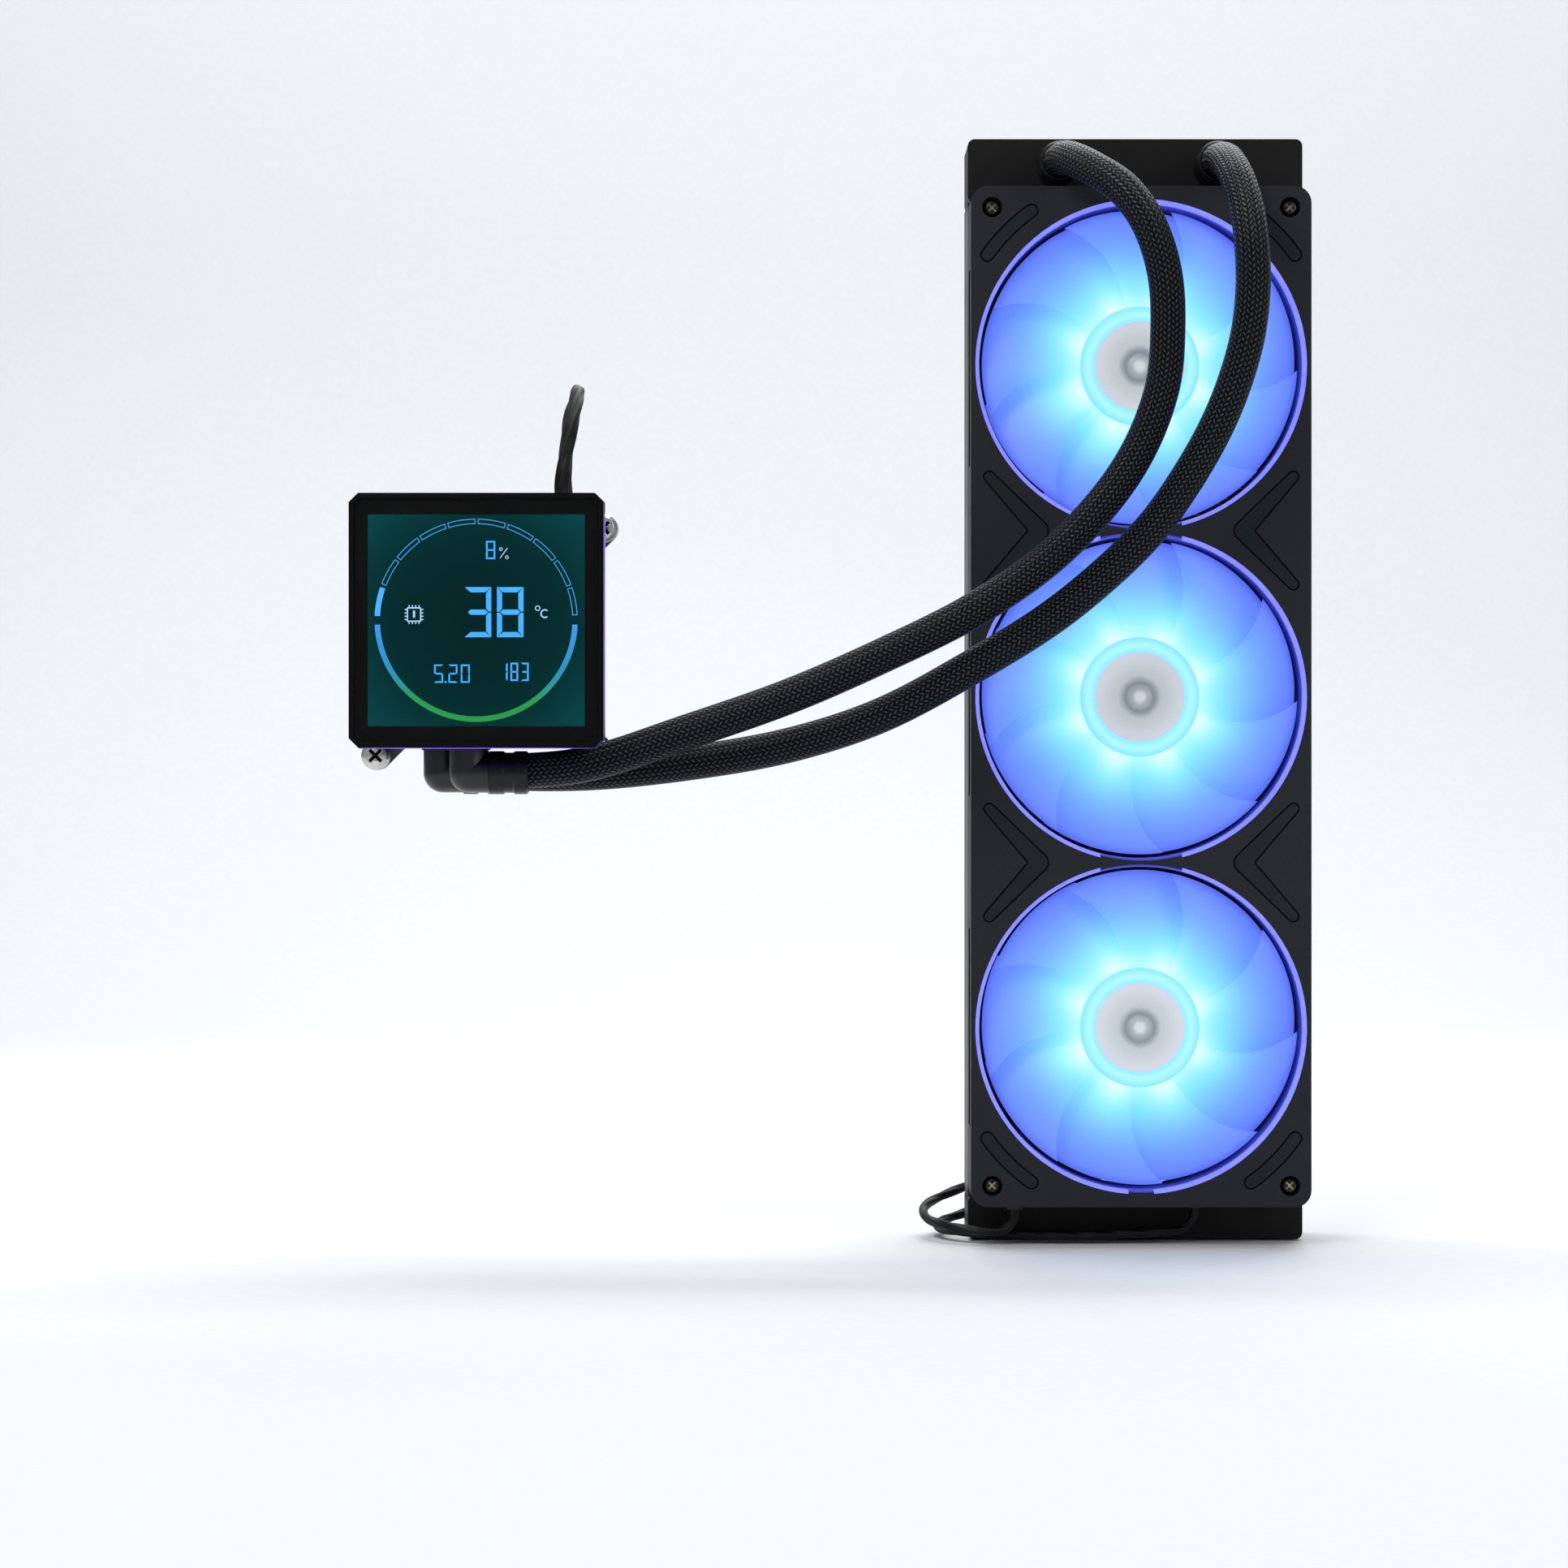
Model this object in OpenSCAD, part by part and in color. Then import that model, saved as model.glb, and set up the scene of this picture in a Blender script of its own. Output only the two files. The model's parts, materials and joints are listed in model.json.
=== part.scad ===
// Sealed liquid cooler: radiator, three-fan unit, two braided hoses and a pump head with a display.
// +X is right, +Z is up, and the radiator's mounting plane is y = 0. Everything else lies in front of
// it, so most depths are given as a distance in front of that plane.

/* [Radiator] */
// Width of the radiator and of the fan unit
rad_w = 120; // [118:1:124]
// Thickness of the radiator
rad_t = 27; // [26:1:32]
// Height of the radiator's top above the middle fan's centre
rad_top = 200.5; // [198:0.5:206]
// Depth of the radiator's bottom below the middle fan's centre
rad_bottom = 194; // [192:0.5:200]
// Height of the two hose ports above the middle fan's centre
port_z = 190; // [189:1:191]
// Distance of each port from the middle
port_x = 28; // [24:1:32]
// Number of flat water tubes in the core
tube_count = 12; // [8:1:14]

/* [Fans] */
// Height of the three-fan frame
frame_h = 360; // [360:1:364]
// Thickness of the three-fan frame
frame_t = 25; // [25:1:27]
// Distance between two fan centres
fan_pitch = 117; // [116.5:0.5:118]
// Radius of each duct
duct_r = 57; // [56.5:0.5:57]
// Radius over the blade tips
tip_r = 55.7; // [54:0.1:56]
// Radius of the rotor's hub
hub_r = 21.2; // [20.8:0.1:22]
// Number of blades on each rotor
blade_count = 9; // [7:1:11]
// Mounting hole spacing across one fan
hole_pitch = 105; // [105:1:105]

/* [Hoses] */
// Outer diameter of each braided hose
hose_d = 12; // [11:0.5:12]
// Outer diameter of the crimped ferrules
ferrule_d = 14.6; // [14:0.1:15]
// Diameter of the fan and lighting leads
lead_d = 3.5; // [3:0.1:3.6]
// Diameter of the pump lead
pump_lead_d = 5; // [4:0.5:5]

/* [Pump head] */
// Side of the square display head
head_w = 84.5; // [82:0.5:86]
// Length cut off each side at the head's corners
head_cut = 3.1; // [2.5:0.1:4]
// Side of the square pump housing behind it
housing_w = 78; // [76:1:80]
// Height of the display area
screen_h = 70.2; // [68:0.1:72]
// Width of the display area
screen_w = 71.9; // [68:0.1:74]
// Side of the square of the four mounting screws
cpu_pitch = 78; // [75:1:80]

/* [Hidden] */
$fn = 64;
eps = 0.01;

// Radiator
tank_wall = 1.2;
plate_t = 1.6;
core_top = 176;
core_bottom = -177;
core_front = 23;
core_rear = 4;
tube_t = 2;
rail_t = 1;
rail_flange = 11;
tap_r = 1.25;
collar_r = 2.4;
collar_l = 2.6;
tube_pitch = (rad_w - 2 * rail_t - tube_t) / (tube_count - 1);
fin_gap = tube_pitch - tube_t;
fin_t = 0.35;
fin_clear = 0.02;
fin_pitch = 12;
rear_rows = [-172.5, -67.5, -52.5, 52.5, 67.5, 172.5];
front_rows = [-172.5, 172.5];
hole_x = hole_pitch / 2;
port_bore_r = 3.4;
barb_r = 4.3;
port_end = 43;
ferrule_end = 44;

// Fan unit, as distances in front of the mounting plane
frame_back = rad_t;
frame_front = rad_t + frame_t;
fan_z = [fan_pitch, 0, -fan_pitch];
frame_corner_r = 6;
seat_r = 20.4;
seat_front = frame_back + 3.5;
ring_r = duct_r + 1.5;
ring_inner_r = duct_r + 0.15;
ring_back = frame_front - 4;
ring_front = frame_front - 0.4;
ring_breaks = [[4.5, 14.4], [14.4, 14.4], [14.4, 4.5]];
lip_r = duct_r + 0.9;
lip_depth = 2.2;
hub_front = frame_front - 5.5;
hub_back = frame_back + 7;
hub_wall = 1.4;
shaft_r = 1.5;
shaft_gap = 0.05;
bearing_r = 4;
boss_r = 5.2;
stator_r = 17.2;
cap_r = 15.9;
pad_depth = 1;
pad_gap = 0.25;

// Pump head, as distances in front of the mounting plane, and its centres in x and z
head_c = [-228, 23.5];
pump_c = [-228, 21];
cpu_c = [-227, 18];
stud_r = 1.5;
plate_back = 78.5;
plate_front = 82;
housing_back = 91;
housing_front = 121;
shell_front = 126.5;
strip_front = 129.5;
head_front = 136;
elbow_r = 6.7;
elbow_z = -27;
elbow_front = [-232, 113.5];
elbow_rear = [-242, 98];
housing_bottom = pump_c[1] - housing_w / 2;
housing_top = pump_c[1] + housing_w / 2;
chamber_r = 24;
can_r = 11.5;
dry_r = 27;

// Routes of the hoses and leads: points along each centre line
hose_left_route = [
    [-28, -30, 190], [-28, -46, 190], [-26, -63, 188], [-19, -78, 182], [-9, -89, 173],
    [-1, -95, 160], [4, -97, 143], [5, -97, 124], [3, -97, 104], [-5, -97, 83], [-18, -98, 64],
    [-37, -99, 45], [-62, -101, 28], [-92, -103, 13], [-124, -106, -1], [-158, -110, -13],
    [-192, -113, -24], [-222, -113.5, -27]
];
hose_right_route = [
    [28, -30, 190], [28, -46, 190], [29, -63, 187], [31, -79, 178], [33, -89, 166],
    [34, -95, 152], [34, -97, 137], [32, -97, 121], [27, -97, 104], [20, -97, 88], [10, -97, 71],
    [-1, -97, 56], [-16, -97, 41], [-36, -96, 25], [-62, -96, 9], [-92, -96, -7],
    [-122, -96, -17], [-154, -97, -23], [-192, -98, -27], [-232, -98, -27]
];
fan_lead_route = [
    [20, -38, -180], [20, -38, -184], [18.5, -38, -187], [15.5, -38, -189], [11, -38, -190],
    [3, -38, -190.5], [-8, -38, -191], [-20, -38, -191.5], [-37, -37, -191.5], [-54, -34, -191],
    [-65, -27, -191], [-70, -15, -191], [-68, -3, -190], [-60, 4, -188], [-49, 4.5, -183],
    [-38, 3, -174], [-29, 3, -161], [-24, 3, -146], [-23, 3, -130]
];
light_lead_route = [
    [-44, -44, -180], [-44, -44, -184], [-45.5, -43.5, -187], [-49, -43, -189],
    [-55, -42, -189.5], [-62, -40, -189], [-69, -35, -188], [-74, -26, -187], [-75.5, -15, -185],
    [-72.5, -4, -183], [-64, 4, -180], [-53, 5, -175], [-44, 4, -164], [-39, 3, -146],
    [-36, 3, -126], [-35, 3, -106], [-35, 3, -85]
];
pump_lead_route = [
    [-201, -108, 62], [-201, -108, 72], [-199, -106, 85], [-197, -97, 98], [-197, -85, 104],
    [-198, -71, 104], [-201, -59, 97], [-203, -50, 84], [-203, -44, 69], [-202, -41, 54],
    [-201, -40, 38], [-200.5, -40, 21]
];

// Coils of the leads: centre in x and z, where the first turn's centre lies in y, and mean radius
lead_coil_r = 19;
pump_coil_r = 27.5;
coil_turns = 2;
fan_coil_c = [-4, -130];
light_coil_c = [-16, -85];
pump_coil_c = [-228, 21];

// ---------- shared shapes ----------

// A flat outline in x and z, from one distance in front of the mounting plane to another
module slab(back, front) {
    translate([0, -back, 0])
        rotate([90, 0, 0])
            linear_extrude(front - back)
                children();
}

// A profile of [radius, distance in front of the mounting plane], turned about a line along y
module turned(x, z) {
    translate([x, 0, z])
        rotate([90, 0, 0])
            rotate_extrude($fn = 96)
                children();
}

module rod(x, z, r, back, front) {
    translate([x, -back, z])
        rotate([90, 0, 0])
            cylinder(r = r, h = front - back);
}

module rounded_rect(w, h, r) {
    square([w - 2 * r, h], center = true);
    square([w, h - 2 * r], center = true);
    for (sx = [-1, 1], sz = [-1, 1])
        translate([sx * (w / 2 - r), sz * (h / 2 - r)])
            circle(r);
}

module chamfered_rect(w, h, c) {
    x = w / 2;
    z = h / 2;
    polygon([
        [-x + c, -z], [x - c, -z], [x, -z + c], [x, z - c],
        [x - c, z], [-x + c, z], [-x, z - c], [-x, -z + c]
    ]);
}

module wedge(from, to, r) {
    mid = (from + to) / 2;
    polygon([
        [0, 0], r * [cos(from), sin(from)], r * [cos(mid), sin(mid)] / cos((to - from) / 2),
        r * [cos(to), sin(to)]
    ]);
}

function unit(v) = v / norm(v);

function tangent(route, i) =
    let (last = len(route) - 1)
    unit(route[min(i + 1, last)] - route[min(max(i - 1, 0), last - 1)]);

function across(v) = unit(cross(v, abs(v[0]) < 0.9 ? [1, 0, 0] : [0, 1, 0]));

// Side directions carried along the route with as little twist as possible
function side_directions(route) = [
    for (
        i = 0, n = across(tangent(route, 0));
        i < len(route);
        i = i + 1, n = unit(n - (n * tangent(route, i)) * tangent(route, i))
    ) n
];

module tube_along(route, d, sides) {
    rings = len(route);
    n = side_directions(route);
    points = [
        for (i = [0:rings - 1], k = [0:sides - 1])
            let (t = tangent(route, i), a = 360 * k / sides)
            route[i] + d / 2 * (cos(a) * n[i] + sin(a) * cross(t, n[i]))
    ];
    walls = [
        for (i = [0:rings - 2], k = [0:sides - 1])
            let (next = (k + 1) % sides)
            [i * sides + k, (i + 1) * sides + k, (i + 1) * sides + next, i * sides + next]
    ];
    first_cap = [for (k = [0:sides - 1]) k];
    last_cap = [for (k = [sides - 1:-1:0]) (rings - 1) * sides + k];
    polyhedron(points, concat([first_cap], walls, [last_cap]), convexity = 6);
}

// The outer shape of a flat coil whose axis lies along y
module coil_solid(c, y_first, d, mean_r) {
    translate([c[0], y_first - d / 2, c[1]])
        rotate([-90, 0, 0])
            rotate_extrude($fn = 96)
                translate([mean_r - d / 2, 0])
                    square([d, coil_turns * d]);
}

// ---------- radiator ----------

module tank_outline(h, r) {
    rounded_rect(rad_w, h, r);
}

module tank(low, high, open_low) {
    mid = (low + high) / 2;
    h = high - low;
    shift = open_low ? -tank_wall : tank_wall;
    difference() {
        translate([0, 0, mid])
            slab(0, rad_t)
                tank_outline(h, 2.5);
        translate([0, 0, mid + shift])
            slab(tank_wall, rad_t - tank_wall)
                square([rad_w - 2 * tank_wall, h], center = true);
    }
}

module top_tank() {
    color([0.10, 0.10, 0.11])
        difference() {
            tank(core_top + plate_t, rad_top, true);
            for (s = [-1, 1])
                rod(s * port_x, port_z, 5.05, rad_t - tank_wall - 1, rad_t + 1);
            translate([0, -rad_t / 2, rad_top - 4])
                cylinder(r = 4, h = 5);
        }
}

module bottom_tank() {
    color([0.10, 0.10, 0.11])
        tank(-rad_bottom, core_bottom - plate_t, false);
}

module tube_slots(z) {
    for (i = [0:tube_count - 1])
        translate([(i - (tube_count - 1) / 2) * tube_pitch, -(core_front + core_rear) / 2, z])
            cube([tube_t, core_front - core_rear, 3 * plate_t], center = true);
}

module header_plate(low) {
    difference() {
        translate([-rad_w / 2, -rad_t, low])
            cube([rad_w, rad_t, plate_t]);
        tube_slots(low + plate_t / 2);
    }
}

module header_plates() {
    color([0.12, 0.12, 0.13]) {
        header_plate(core_top);
        header_plate(core_bottom - plate_t);
    }
}

module core_tube(x) {
    h = core_top - core_bottom + 2 * plate_t;
    depth = core_front - core_rear;
    translate([x, -(core_front + core_rear) / 2, (core_top + core_bottom) / 2])
        difference() {
            cube([tube_t, depth, h], center = true);
            cube([tube_t - 0.6, depth - 0.6, h + 2], center = true);
        }
}

module core_tubes() {
    color([0.13, 0.13, 0.14])
        for (i = [0:tube_count - 1])
            core_tube((i - (tube_count - 1) / 2) * tube_pitch);
}

// One folded strip between two tubes: a zigzag whose folds rest on the tubes
module fin_strip() {
    folds = floor((core_top - core_bottom - 3) / fin_pitch);
    start = (core_top + core_bottom) / 2 - folds * fin_pitch / 2;
    half = fin_gap / 2;
    bend_x = half - fin_t - fin_clear;
    bends = [for (i = [0:2 * folds]) [(i % 2 == 0 ? -1 : 1) * bend_x, start + i * fin_pitch / 2]];
    outer = [for (p = bends) [p[0] + fin_t, p[1]]];
    inner = [for (i = [len(bends) - 1:-1:0]) [bends[i][0] - fin_t, bends[i][1]]];
    slab(core_rear + 0.5, core_front - 0.5)
        polygon(concat(outer, inner));
}

module core_fins() {
    color([0.2, 0.2, 0.21])
        for (i = [0:tube_count - 2])
            translate([(i - (tube_count - 2) / 2) * tube_pitch, 0, 0])
                fin_strip();
}

module rail_holes(rows, back, front) {
    for (z = rows)
        rod(hole_x, z, tap_r, back, front);
}

module side_rail() {
    h = core_top - core_bottom - 0.1;
    z_low = core_bottom + 0.05;
    difference() {
        union() {
            translate([rad_w / 2 - rail_t, -rad_t, z_low])
                cube([rail_t, rad_t, h]);
            for (y = [-rad_t, -rail_t])
                translate([rad_w / 2 - rail_flange, y, z_low])
                    cube([rail_flange, rail_t, h]);
            for (z = rear_rows)
                rod(hole_x, z, collar_r, rail_t - eps, rail_t + collar_l);
            for (z = front_rows)
                rod(hole_x, z, collar_r, rad_t - rail_t - collar_l, rad_t - rail_t + eps);
        }
        rail_holes(rear_rows, -1, rail_t + collar_l + 0.1);
        rail_holes(front_rows, rad_t - rail_t - collar_l - 0.1, rad_t + 1);
    }
}

module side_rails() {
    color([0.09, 0.09, 0.10]) {
        side_rail();
        mirror([1, 0, 0])
            side_rail();
    }
}

module tank_port(x) {
    turned(x, port_z)
        polygon([
            [port_bore_r, rad_t - 2.4], [6.4, rad_t - 2.4], [6.4, rad_t - tank_wall], [5, rad_t - tank_wall],
            [5, rad_t], [6.6, rad_t], [6.6, rad_t + 2], [barb_r, rad_t + 2], [barb_r, port_end - 9],
            [barb_r + 0.7, port_end - 9], [barb_r, port_end - 6], [barb_r + 0.7, port_end - 6],
            [barb_r, port_end - 3], [barb_r + 0.7, port_end - 3], [barb_r - 0.3, port_end],
            [port_bore_r, port_end]
        ]);
}

module tank_ports() {
    color([0.75, 0.62, 0.35])
        for (s = [-1, 1])
            tank_port(s * port_x);
}

module fill_plug() {
    color([0.55, 0.55, 0.57])
        translate([0, -rad_t / 2, rad_top - 3.8])
            difference() {
                union() {
                    cylinder(r = 3.95, h = 3.8);
                    translate([0, 0, 3.8])
                        cylinder(r1 = 6, r2 = 5.2, h = 1.2);
                }
                translate([0, 0, 2])
                    cylinder(r = 2, h = 4, $fn = 6);
            }
}

module sleeve(length) {
    rotate_extrude($fn = 72)
        polygon([
            [hose_d / 2 + 0.1, 0], [ferrule_d / 2, 0], [ferrule_d / 2, length * 0.35],
            [ferrule_d / 2 - 0.5, length * 0.4], [ferrule_d / 2 - 0.5, length * 0.6],
            [ferrule_d / 2, length * 0.65], [ferrule_d / 2, length - 0.6],
            [ferrule_d / 2 - 0.6, length], [hose_d / 2 + 0.1, length]
        ]);
}

module radiator_ferrules() {
    color([0.08, 0.08, 0.09])
        for (s = [-1, 1])
            translate([s * port_x, -(rad_t + 2.1), port_z])
                rotate([90, 0, 0])
                    sleeve(ferrule_end - rad_t - 2.1);
}

// ---------- hoses ----------

module hose_left() {
    color([0.05, 0.05, 0.05])
        tube_along(hose_left_route, hose_d, 12);
}

module hose_right() {
    color([0.05, 0.05, 0.05])
        tube_along(hose_right_route, hose_d, 12);
}

module elbow(x, front, reach) {
    translate([x, -front, elbow_z]) {
        difference() {
            union() {
                cylinder(r = elbow_r, h = housing_bottom - elbow_z);
                sphere(r = elbow_r);
                rotate([0, 90, 0])
                    cylinder(r = elbow_r, h = 7);
                rotate([0, 90, 0])
                    cylinder(r = barb_r, h = reach);
                cylinder(r = 5, h = housing_bottom - elbow_z + 6);
            }
            translate([0, 0, -1])
                cylinder(r = 3.4, h = housing_bottom - elbow_z + 8);
            rotate([0, 90, 0])
                cylinder(r = 3.4, h = reach + 1);
        }
    }
}

module elbow_fittings() {
    color([0.06, 0.06, 0.07]) {
        elbow(elbow_front[0], elbow_front[1], 20);
        elbow(elbow_rear[0], elbow_rear[1], 20);
    }
}

module pump_ferrules() {
    color([0.08, 0.08, 0.09])
        for (e = [elbow_front, elbow_rear])
            translate([e[0] + 7.1, -e[1], elbow_z])
                rotate([0, 90, 0])
                    sleeve(13);
}

// ---------- fan unit ----------

// Outline of the front recess of one duct: a circle, less the thin necks above and below
module ring_outline(r, upper_half, lower_half) {
    difference() {
        circle(r, $fn = 128);
        translate([-upper_half, 40])
            square([2 * upper_half, 30]);
        translate([-lower_half, -70])
            square([2 * lower_half, 30]);
    }
}

function arc(c, r, from, to, steps, skip = 0) = [
    for (i = [skip:steps - skip])
        let (a = from + (to - from) * i / steps)
        c + r * [cos(a), sin(a)]
];

module corner_pad_outline(gap) {
    mid_r = 66.6;
    half = 2.3 + gap;
    low = 35.5;
    high = 54.5;
    translate([0, fan_pitch])
        polygon(concat(
            arc([0, 0], mid_r + half, low, high, 8),
            arc(mid_r * [cos(high), sin(high)], half, high, high + 180, 8, 1),
            arc([0, 0], mid_r - half, high, low, 8),
            arc(mid_r * [cos(low), sin(low)], half, low + 180, low + 360, 8, 1)
        ));
}

module chevron_outline(gap) {
    tip = [53.6, 19];
    half = 1.95 + gap;
    polygon(concat(
        arc(tip, half, 135, -45, 8), [[40 + 1.4 * gap, 0]],
        arc([tip[0], -tip[1]], half, 45, -135, 8), arc([36.3, 0], 3.6 + gap, -135, -225, 6)
    ));
}

module pad_outlines(gap) {
    for (mx = [0, 1], mz = [0, 1])
        mirror([mx, 0])
            mirror([0, mz])
                corner_pad_outline(gap);
    for (mx = [0, 1], s = [-1, 1])
        mirror([mx, 0])
            translate([0, s * fan_pitch / 2])
                chevron_outline(gap);
}

module duct_cut(z, breaks) {
    rod(0, z, duct_r, frame_back - 1, frame_front + 1, $fn = 128);
    turned(0, z)
        polygon([
            [duct_r - 1, frame_front - lip_depth], [duct_r, frame_front - lip_depth], [lip_r, frame_front],
            [lip_r, frame_front + 1], [duct_r - 1, frame_front + 1]
        ]);
    translate([0, 0, z])
        slab(ring_back, frame_front + 1)
            ring_outline(ring_r, breaks[0], breaks[1]);
}

module motor_seat(z) {
    difference() {
        union() {
            rod(0, z, seat_r, frame_back, seat_front);
            rod(0, z, boss_r, frame_back, hub_front - 3.4);
            translate([0, 0, z])
                slab(frame_back, seat_front)
                    for (a = [45:90:315])
                        rotate(a)
                            translate([seat_r - 1, -2])
                                square([duct_r - seat_r + 1.6, 4]);
        }
        rod(0, z, bearing_r, frame_back + 1.5, hub_front);
    }
}

module fan_frame() {
    color([0.13, 0.15, 0.17]) {
        difference() {
            slab(frame_back, frame_front)
                rounded_rect(rad_w, frame_h, frame_corner_r);
            for (i = [0:2])
                duct_cut(fan_z[i], ring_breaks[i]);
            for (sx = [-1, 1], sz = [-1, 1]) {
                rod(sx * hole_x, sz * 172.5, 1.7, frame_back - 1, frame_front + 1);
                rod(sx * hole_x, sz * 172.5, 3.6, frame_front - 3, frame_front + 1);
            }
            slab(frame_front - pad_depth, frame_front + 1)
                pad_outlines(pad_gap);
            for (s = [-1, 1], z = fan_z)
                translate([s * rad_w / 2, -(frame_back + frame_t / 2), z])
                    cube([1.6, 11, 70], center = true);
            for (s = [-1, 1])
                translate([0, -(frame_back + frame_t / 2), s * frame_h / 2])
                    cube([64, 11, 1.6], center = true);
            for (p = [fan_lead_route[0], light_lead_route[0]])
                translate([p[0], p[1], -frame_h / 2 - 1])
                    cylinder(r = 3.3, h = 2);
        }
        for (z = fan_z)
            motor_seat(z);
    }
}

module frame_pads() {
    color([0.07, 0.08, 0.10])
        slab(frame_front - pad_depth, frame_front - 0.1)
            pad_outlines(0);
}

module light_ring(z, breaks) {
    translate([0, 0, z])
        slab(ring_back, ring_front)
            difference() {
                ring_outline(ring_r - 0.05, breaks[0], breaks[1]);
                circle(ring_inner_r, $fn = 128);
            }
}

module light_rings() {
    color([0.45, 0.55, 1.0])
        for (i = [0:2])
            light_ring(fan_z[i], ring_breaks[i]);
}

module light_boards() {
    board_front = seat_front + 1.2;
    color([0.05, 0.25, 0.12])
        for (z = fan_z) {
            translate([0, 0, z])
                slab(seat_front, board_front)
                    difference() {
                        circle(seat_r - 0.4);
                        circle(boss_r + 0.3);
                    }
            translate([0, 0, z])
                slab(board_front, board_front + 1.2)
                    for (a = [22.5:45:359])
                        rotate(a)
                            translate([18.2, 0])
                                square([2, 2], center = true);
        }
}

module stator_outline() {
    difference() {
        union() {
            circle(8.5);
            for (a = [0:90:270])
                rotate(a) {
                    translate([6, -2])
                        square([9, 4]);
                    intersection() {
                        difference() {
                            circle(stator_r);
                            circle(stator_r - 2);
                        }
                        wedge(-36, 36, 30);
                    }
                }
        }
        circle(boss_r + 0.1);
    }
}

module fan_stators() {
    color([0.4, 0.4, 0.42])
        for (z = fan_z)
            translate([0, 0, z])
                slab(hub_back + 2.5, hub_back + 7.5)
                    stator_outline();
}

module fan_coils() {
    color([0.72, 0.38, 0.18])
        for (z = fan_z, a = [0:90:270])
            translate([0, 0, z])
                slab(hub_back + 1.3, hub_back + 8.7)
                    rotate(a)
                        translate([9, 0])
                            difference() {
                                translate([0, -4])
                                    square([5.5, 8]);
                                translate([-1, -2.05])
                                    square([7.5, 4.1]);
                            }
}

module fan_bearings() {
    color([0.8, 0.65, 0.35])
        for (z = fan_z)
            turned(0, z)
                polygon([
                    [shaft_r + shaft_gap, frame_back + 2.5], [bearing_r, frame_back + 2.5],
                    [bearing_r, hub_front - 3.6], [shaft_r + shaft_gap, hub_front - 3.6]
                ]);
}

// A pan-head screw seen from the front, with a cross recess and a thicker shoulder under its head
module front_screw(x, z, head_back, head_r, head_h, shank_r, tip, shoulder_r, shoulder_l) {
    difference() {
        turned(x, z)
            polygon([
                [0, tip], [shank_r, tip], [shank_r, head_back - shoulder_l],
                [shoulder_r, head_back - shoulder_l], [shoulder_r, head_back], [head_r, head_back],
                [head_r, head_back + head_h * 0.5], [head_r * 0.75, head_back + head_h * 0.9],
                [head_r * 0.4, head_back + head_h], [0, head_back + head_h]
            ]);
        translate([x, -(head_back + head_h), z])
            for (a = [45, 135])
                rotate([0, a, 0])
                    cube([head_r * 1.15, head_h * 1.2, head_r * 0.24], center = true);
    }
}

module fan_screws() {
    color([0.2, 0.2, 0.22])
        for (sx = [-1, 1], sz = [-1, 1])
            front_screw(
                sx * hole_x, sz * 172.5, frame_front - 3, 3, 2, tap_r - 0.05, rad_t - 3,
                tap_r + 0.2, frame_t - 4
            );
}

// One blade: a sheet that climbs from back to front as it turns about the hub
module blade() {
    span = 360 / blade_count + 5;
    steps = 7;
    rings = 5;
    thick = 1.3;
    back = hub_back + 0.6;
    front = hub_front - 0.6 - thick;
    root_r = hub_r - 0.8;
    function radius(j) = root_r + (tip_r - root_r) * j / (rings - 1);
    function depth(u) = back + (front - back) * (1 - pow(1 - u, 1.35));
    function sweep(v) = 16 * v * v;
    points = [
        for (side = [0, 1], j = [0:rings - 1], i = [0:steps - 1])
            let (
                v = j / (rings - 1),
                u = i / (steps - 1),
                edge = (i == 0 || i == steps - 1) ? 0.35 : 1,
                a = span * (u - 0.5) + sweep(v),
                f = depth(u) + thick / 2 + (side - 0.5) * thick * edge
            )
            [radius(j) * cos(a), f, radius(j) * sin(a)]
    ];
    per_side = rings * steps;
    function id(side, j, i) = side * per_side + j * steps + i;
    back_faces = [
        for (j = [0:rings - 2], i = [0:steps - 2])
            [id(0, j, i), id(0, j, i + 1), id(0, j + 1, i + 1), id(0, j + 1, i)]
    ];
    front_faces = [
        for (j = [0:rings - 2], i = [0:steps - 2])
            [id(1, j, i), id(1, j + 1, i), id(1, j + 1, i + 1), id(1, j, i + 1)]
    ];
    root_faces = [for (i = [0:steps - 2]) [id(0, 0, i), id(1, 0, i), id(1, 0, i + 1), id(0, 0, i + 1)]];
    tip_faces = [
        for (i = [0:steps - 2])
            [id(0, rings - 1, i), id(0, rings - 1, i + 1), id(1, rings - 1, i + 1), id(1, rings - 1, i)]
    ];
    tail_faces = [for (j = [0:rings - 2]) [id(0, j, 0), id(0, j + 1, 0), id(1, j + 1, 0), id(1, j, 0)]];
    lead_faces = [
        for (j = [0:rings - 2])
            [
                id(0, j, steps - 1), id(1, j, steps - 1), id(1, j + 1, steps - 1),
                id(0, j + 1, steps - 1)
            ]
    ];
    mirror([0, 1, 0])
        polyhedron(
            points,
            concat(back_faces, front_faces, root_faces, tip_faces, tail_faces, lead_faces)
        );
}

module rotor(z) {
    color([0.6, 0.75, 1.0, 0.8]) {
        turned(0, z)
            polygon([
                [shaft_r, hub_front - 2.2], [hub_r - hub_wall, hub_front - 2.2],
                [hub_r - hub_wall, hub_back], [hub_r, hub_back], [hub_r, hub_front - 1],
                [hub_r - 1, hub_front], [cap_r + 0.05, hub_front], [cap_r + 0.05, hub_front - 0.8],
                [shaft_r, hub_front - 0.8]
            ]);
        translate([0, 0, z])
            for (i = [0:blade_count - 1])
                rotate([0, i * 360 / blade_count, 0])
                    blade();
    }
}

module rotor_1() {
    rotor(fan_z[0]);
}

module rotor_2() {
    rotor(fan_z[1]);
}

module rotor_3() {
    rotor(fan_z[2]);
}

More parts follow.
